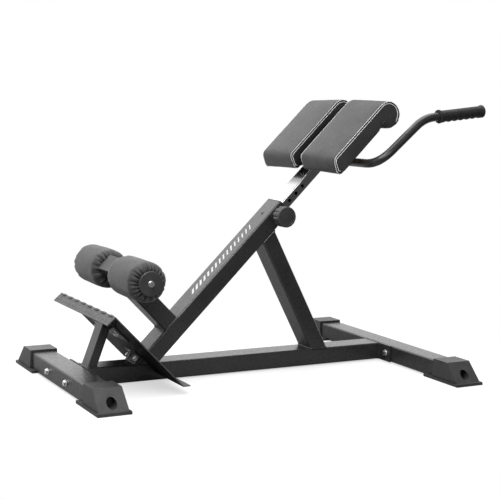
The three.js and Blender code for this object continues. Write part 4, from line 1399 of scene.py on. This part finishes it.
LIGHTS = (                      # name, place, aim and size in metres, power
    ("far_softbox", (-0.5, 4.0, 2.9), (0.0, 0.0, 0.3), (4.2, 2.2), 34.0),
    ("left_overhead", (-1.3, -1.0, 2.0), (-0.5, -0.2, 0.1), (1.2, 1.2), 42.0),
    ("top", (0.3, 0.4, 3.6), (0.0, 0.0, 0.0), (3.0, 3.0), 85.0),
    ("front", (-1.0, -4.0, 2.0), (0.0, 0.0, 0.3), (3.0, 2.0), 46.0))


def make_world():
    """White to the camera; for light and reflections, bright on the far side, dim on the near."""
    world = bpy.data.worlds.new("studio")
    SCENE.world = world
    world.use_nodes = True
    world.node_tree.nodes.clear()
    sky = Nodes(world.node_tree)
    towards = sky.node("ShaderNodeTexCoord").outputs["Generated"]
    split = sky.node("ShaderNodeSeparateXYZ", {0: towards}).outputs
    ramp = sky.remap(split["Y"], WORLD_NEAR, WORLD_FAR, *WORLD_RAMP, SMOOTH)
    band = sky.remap(split["Z"], WORLD_HORIZON, 0.0, *HORIZON_BAND, SMOOTH)
    weight = sky.remap(sky.dot(towards, HORIZON_TOWARDS), 0.0, 1.0, *HORIZON_CONE, SMOOTH)
    strength = sky.maths("MULTIPLY_ADD", band, weight, ramp)
    seen = sky.node("ShaderNodeBackground", {"Color": WHITE})
    lit = sky.node("ShaderNodeBackground", {"Color": WHITE, "Strength": strength})
    by_camera = sky.node("ShaderNodeLightPath").outputs["Is Camera Ray"]
    pick = sky.node("ShaderNodeMixShader", {0: by_camera, 1: lit.outputs[0], 2: seen.outputs[0]})
    sky.node("ShaderNodeOutputWorld", {"Surface": pick.outputs[0]})


def make_floor():
    """A pale floor that looks nearly white and stays moderate in reflections."""
    mesh = bpy.data.meshes.new("floor")
    corners = [(x * FLOOR_REACH, y * FLOOR_REACH, 0)
               for x, y in ((-1, -1), (1, -1), (1, 1), (-1, 1))]
    mesh.from_pydata(corners, [], [(0, 1, 2, 3)])
    floor = bpy.data.objects.new("floor", mesh)
    floor.location.z = -FLOOR_DROP
    SCENE.collection.objects.link(floor)
    look = Look("floor", grey(FLOOR_ALBEDO), 1.0, specular=0.0)
    path = look.node("ShaderNodeLightPath").outputs
    by_camera, by_mirror = path["Is Camera Ray"], path["Is Glossy Ray"]
    look.paint(look.blend(by_camera, grey(FLOOR_ALBEDO), grey(SEEN_FLOOR_ALBEDO)))
    side = look.node("ShaderNodeSeparateXYZ", {0: look.where}).outputs["Y"]
    glow = look.remap(side, NEAR_FLOOR_GLOW, FAR_FLOOR_GLOW, *FLOOR_GLOW_RAMP, SMOOTH)
    strength = look.remap(by_camera, glow, 1.0, 0.0, 1.0)
    away = look.node("ShaderNodeVectorMath", {0: look.where}, operation="LENGTH").outputs["Value"]
    least = look.maths("MULTIPLY", by_camera, NEAR_FLOOR_WHITE)
    most = look.maths("MAXIMUM", by_camera, by_mirror)
    fade = look.remap(away, least, most, *FLOOR_FADE, SMOOTH)
    white = look.node("ShaderNodeEmission", {"Strength": strength})
    pick = look.node("ShaderNodeMixShader", {
        0: fade, 1: look.shader.outputs[0], 2: white.outputs[0]})
    look.feed(look.tree.nodes["Material Output"].inputs["Surface"], pick.outputs[0])
    mesh.materials.append(look.material)


def make_stage():
    make_world()
    make_floor()
    for name, position, target, size, power in LIGHTS:
        area_light(name, position, target, size, power)


# ---------------------------------------------------------------- putting it together

SCENE.view_settings.view_transform = "Standard"
dress_frame()
build_fasteners()
build_welds()
build_handlebar()
build_grips()
build_knob()
for side_name, side_sign in SIDES:
    build_roller(side_name, side_sign)
    build_cushion(side_name, side_sign)
    build_pleat(side_name, side_sign)
build_tread()
build_decal()
build_rivet()
build_board_hems()
make_camera()
make_stage()
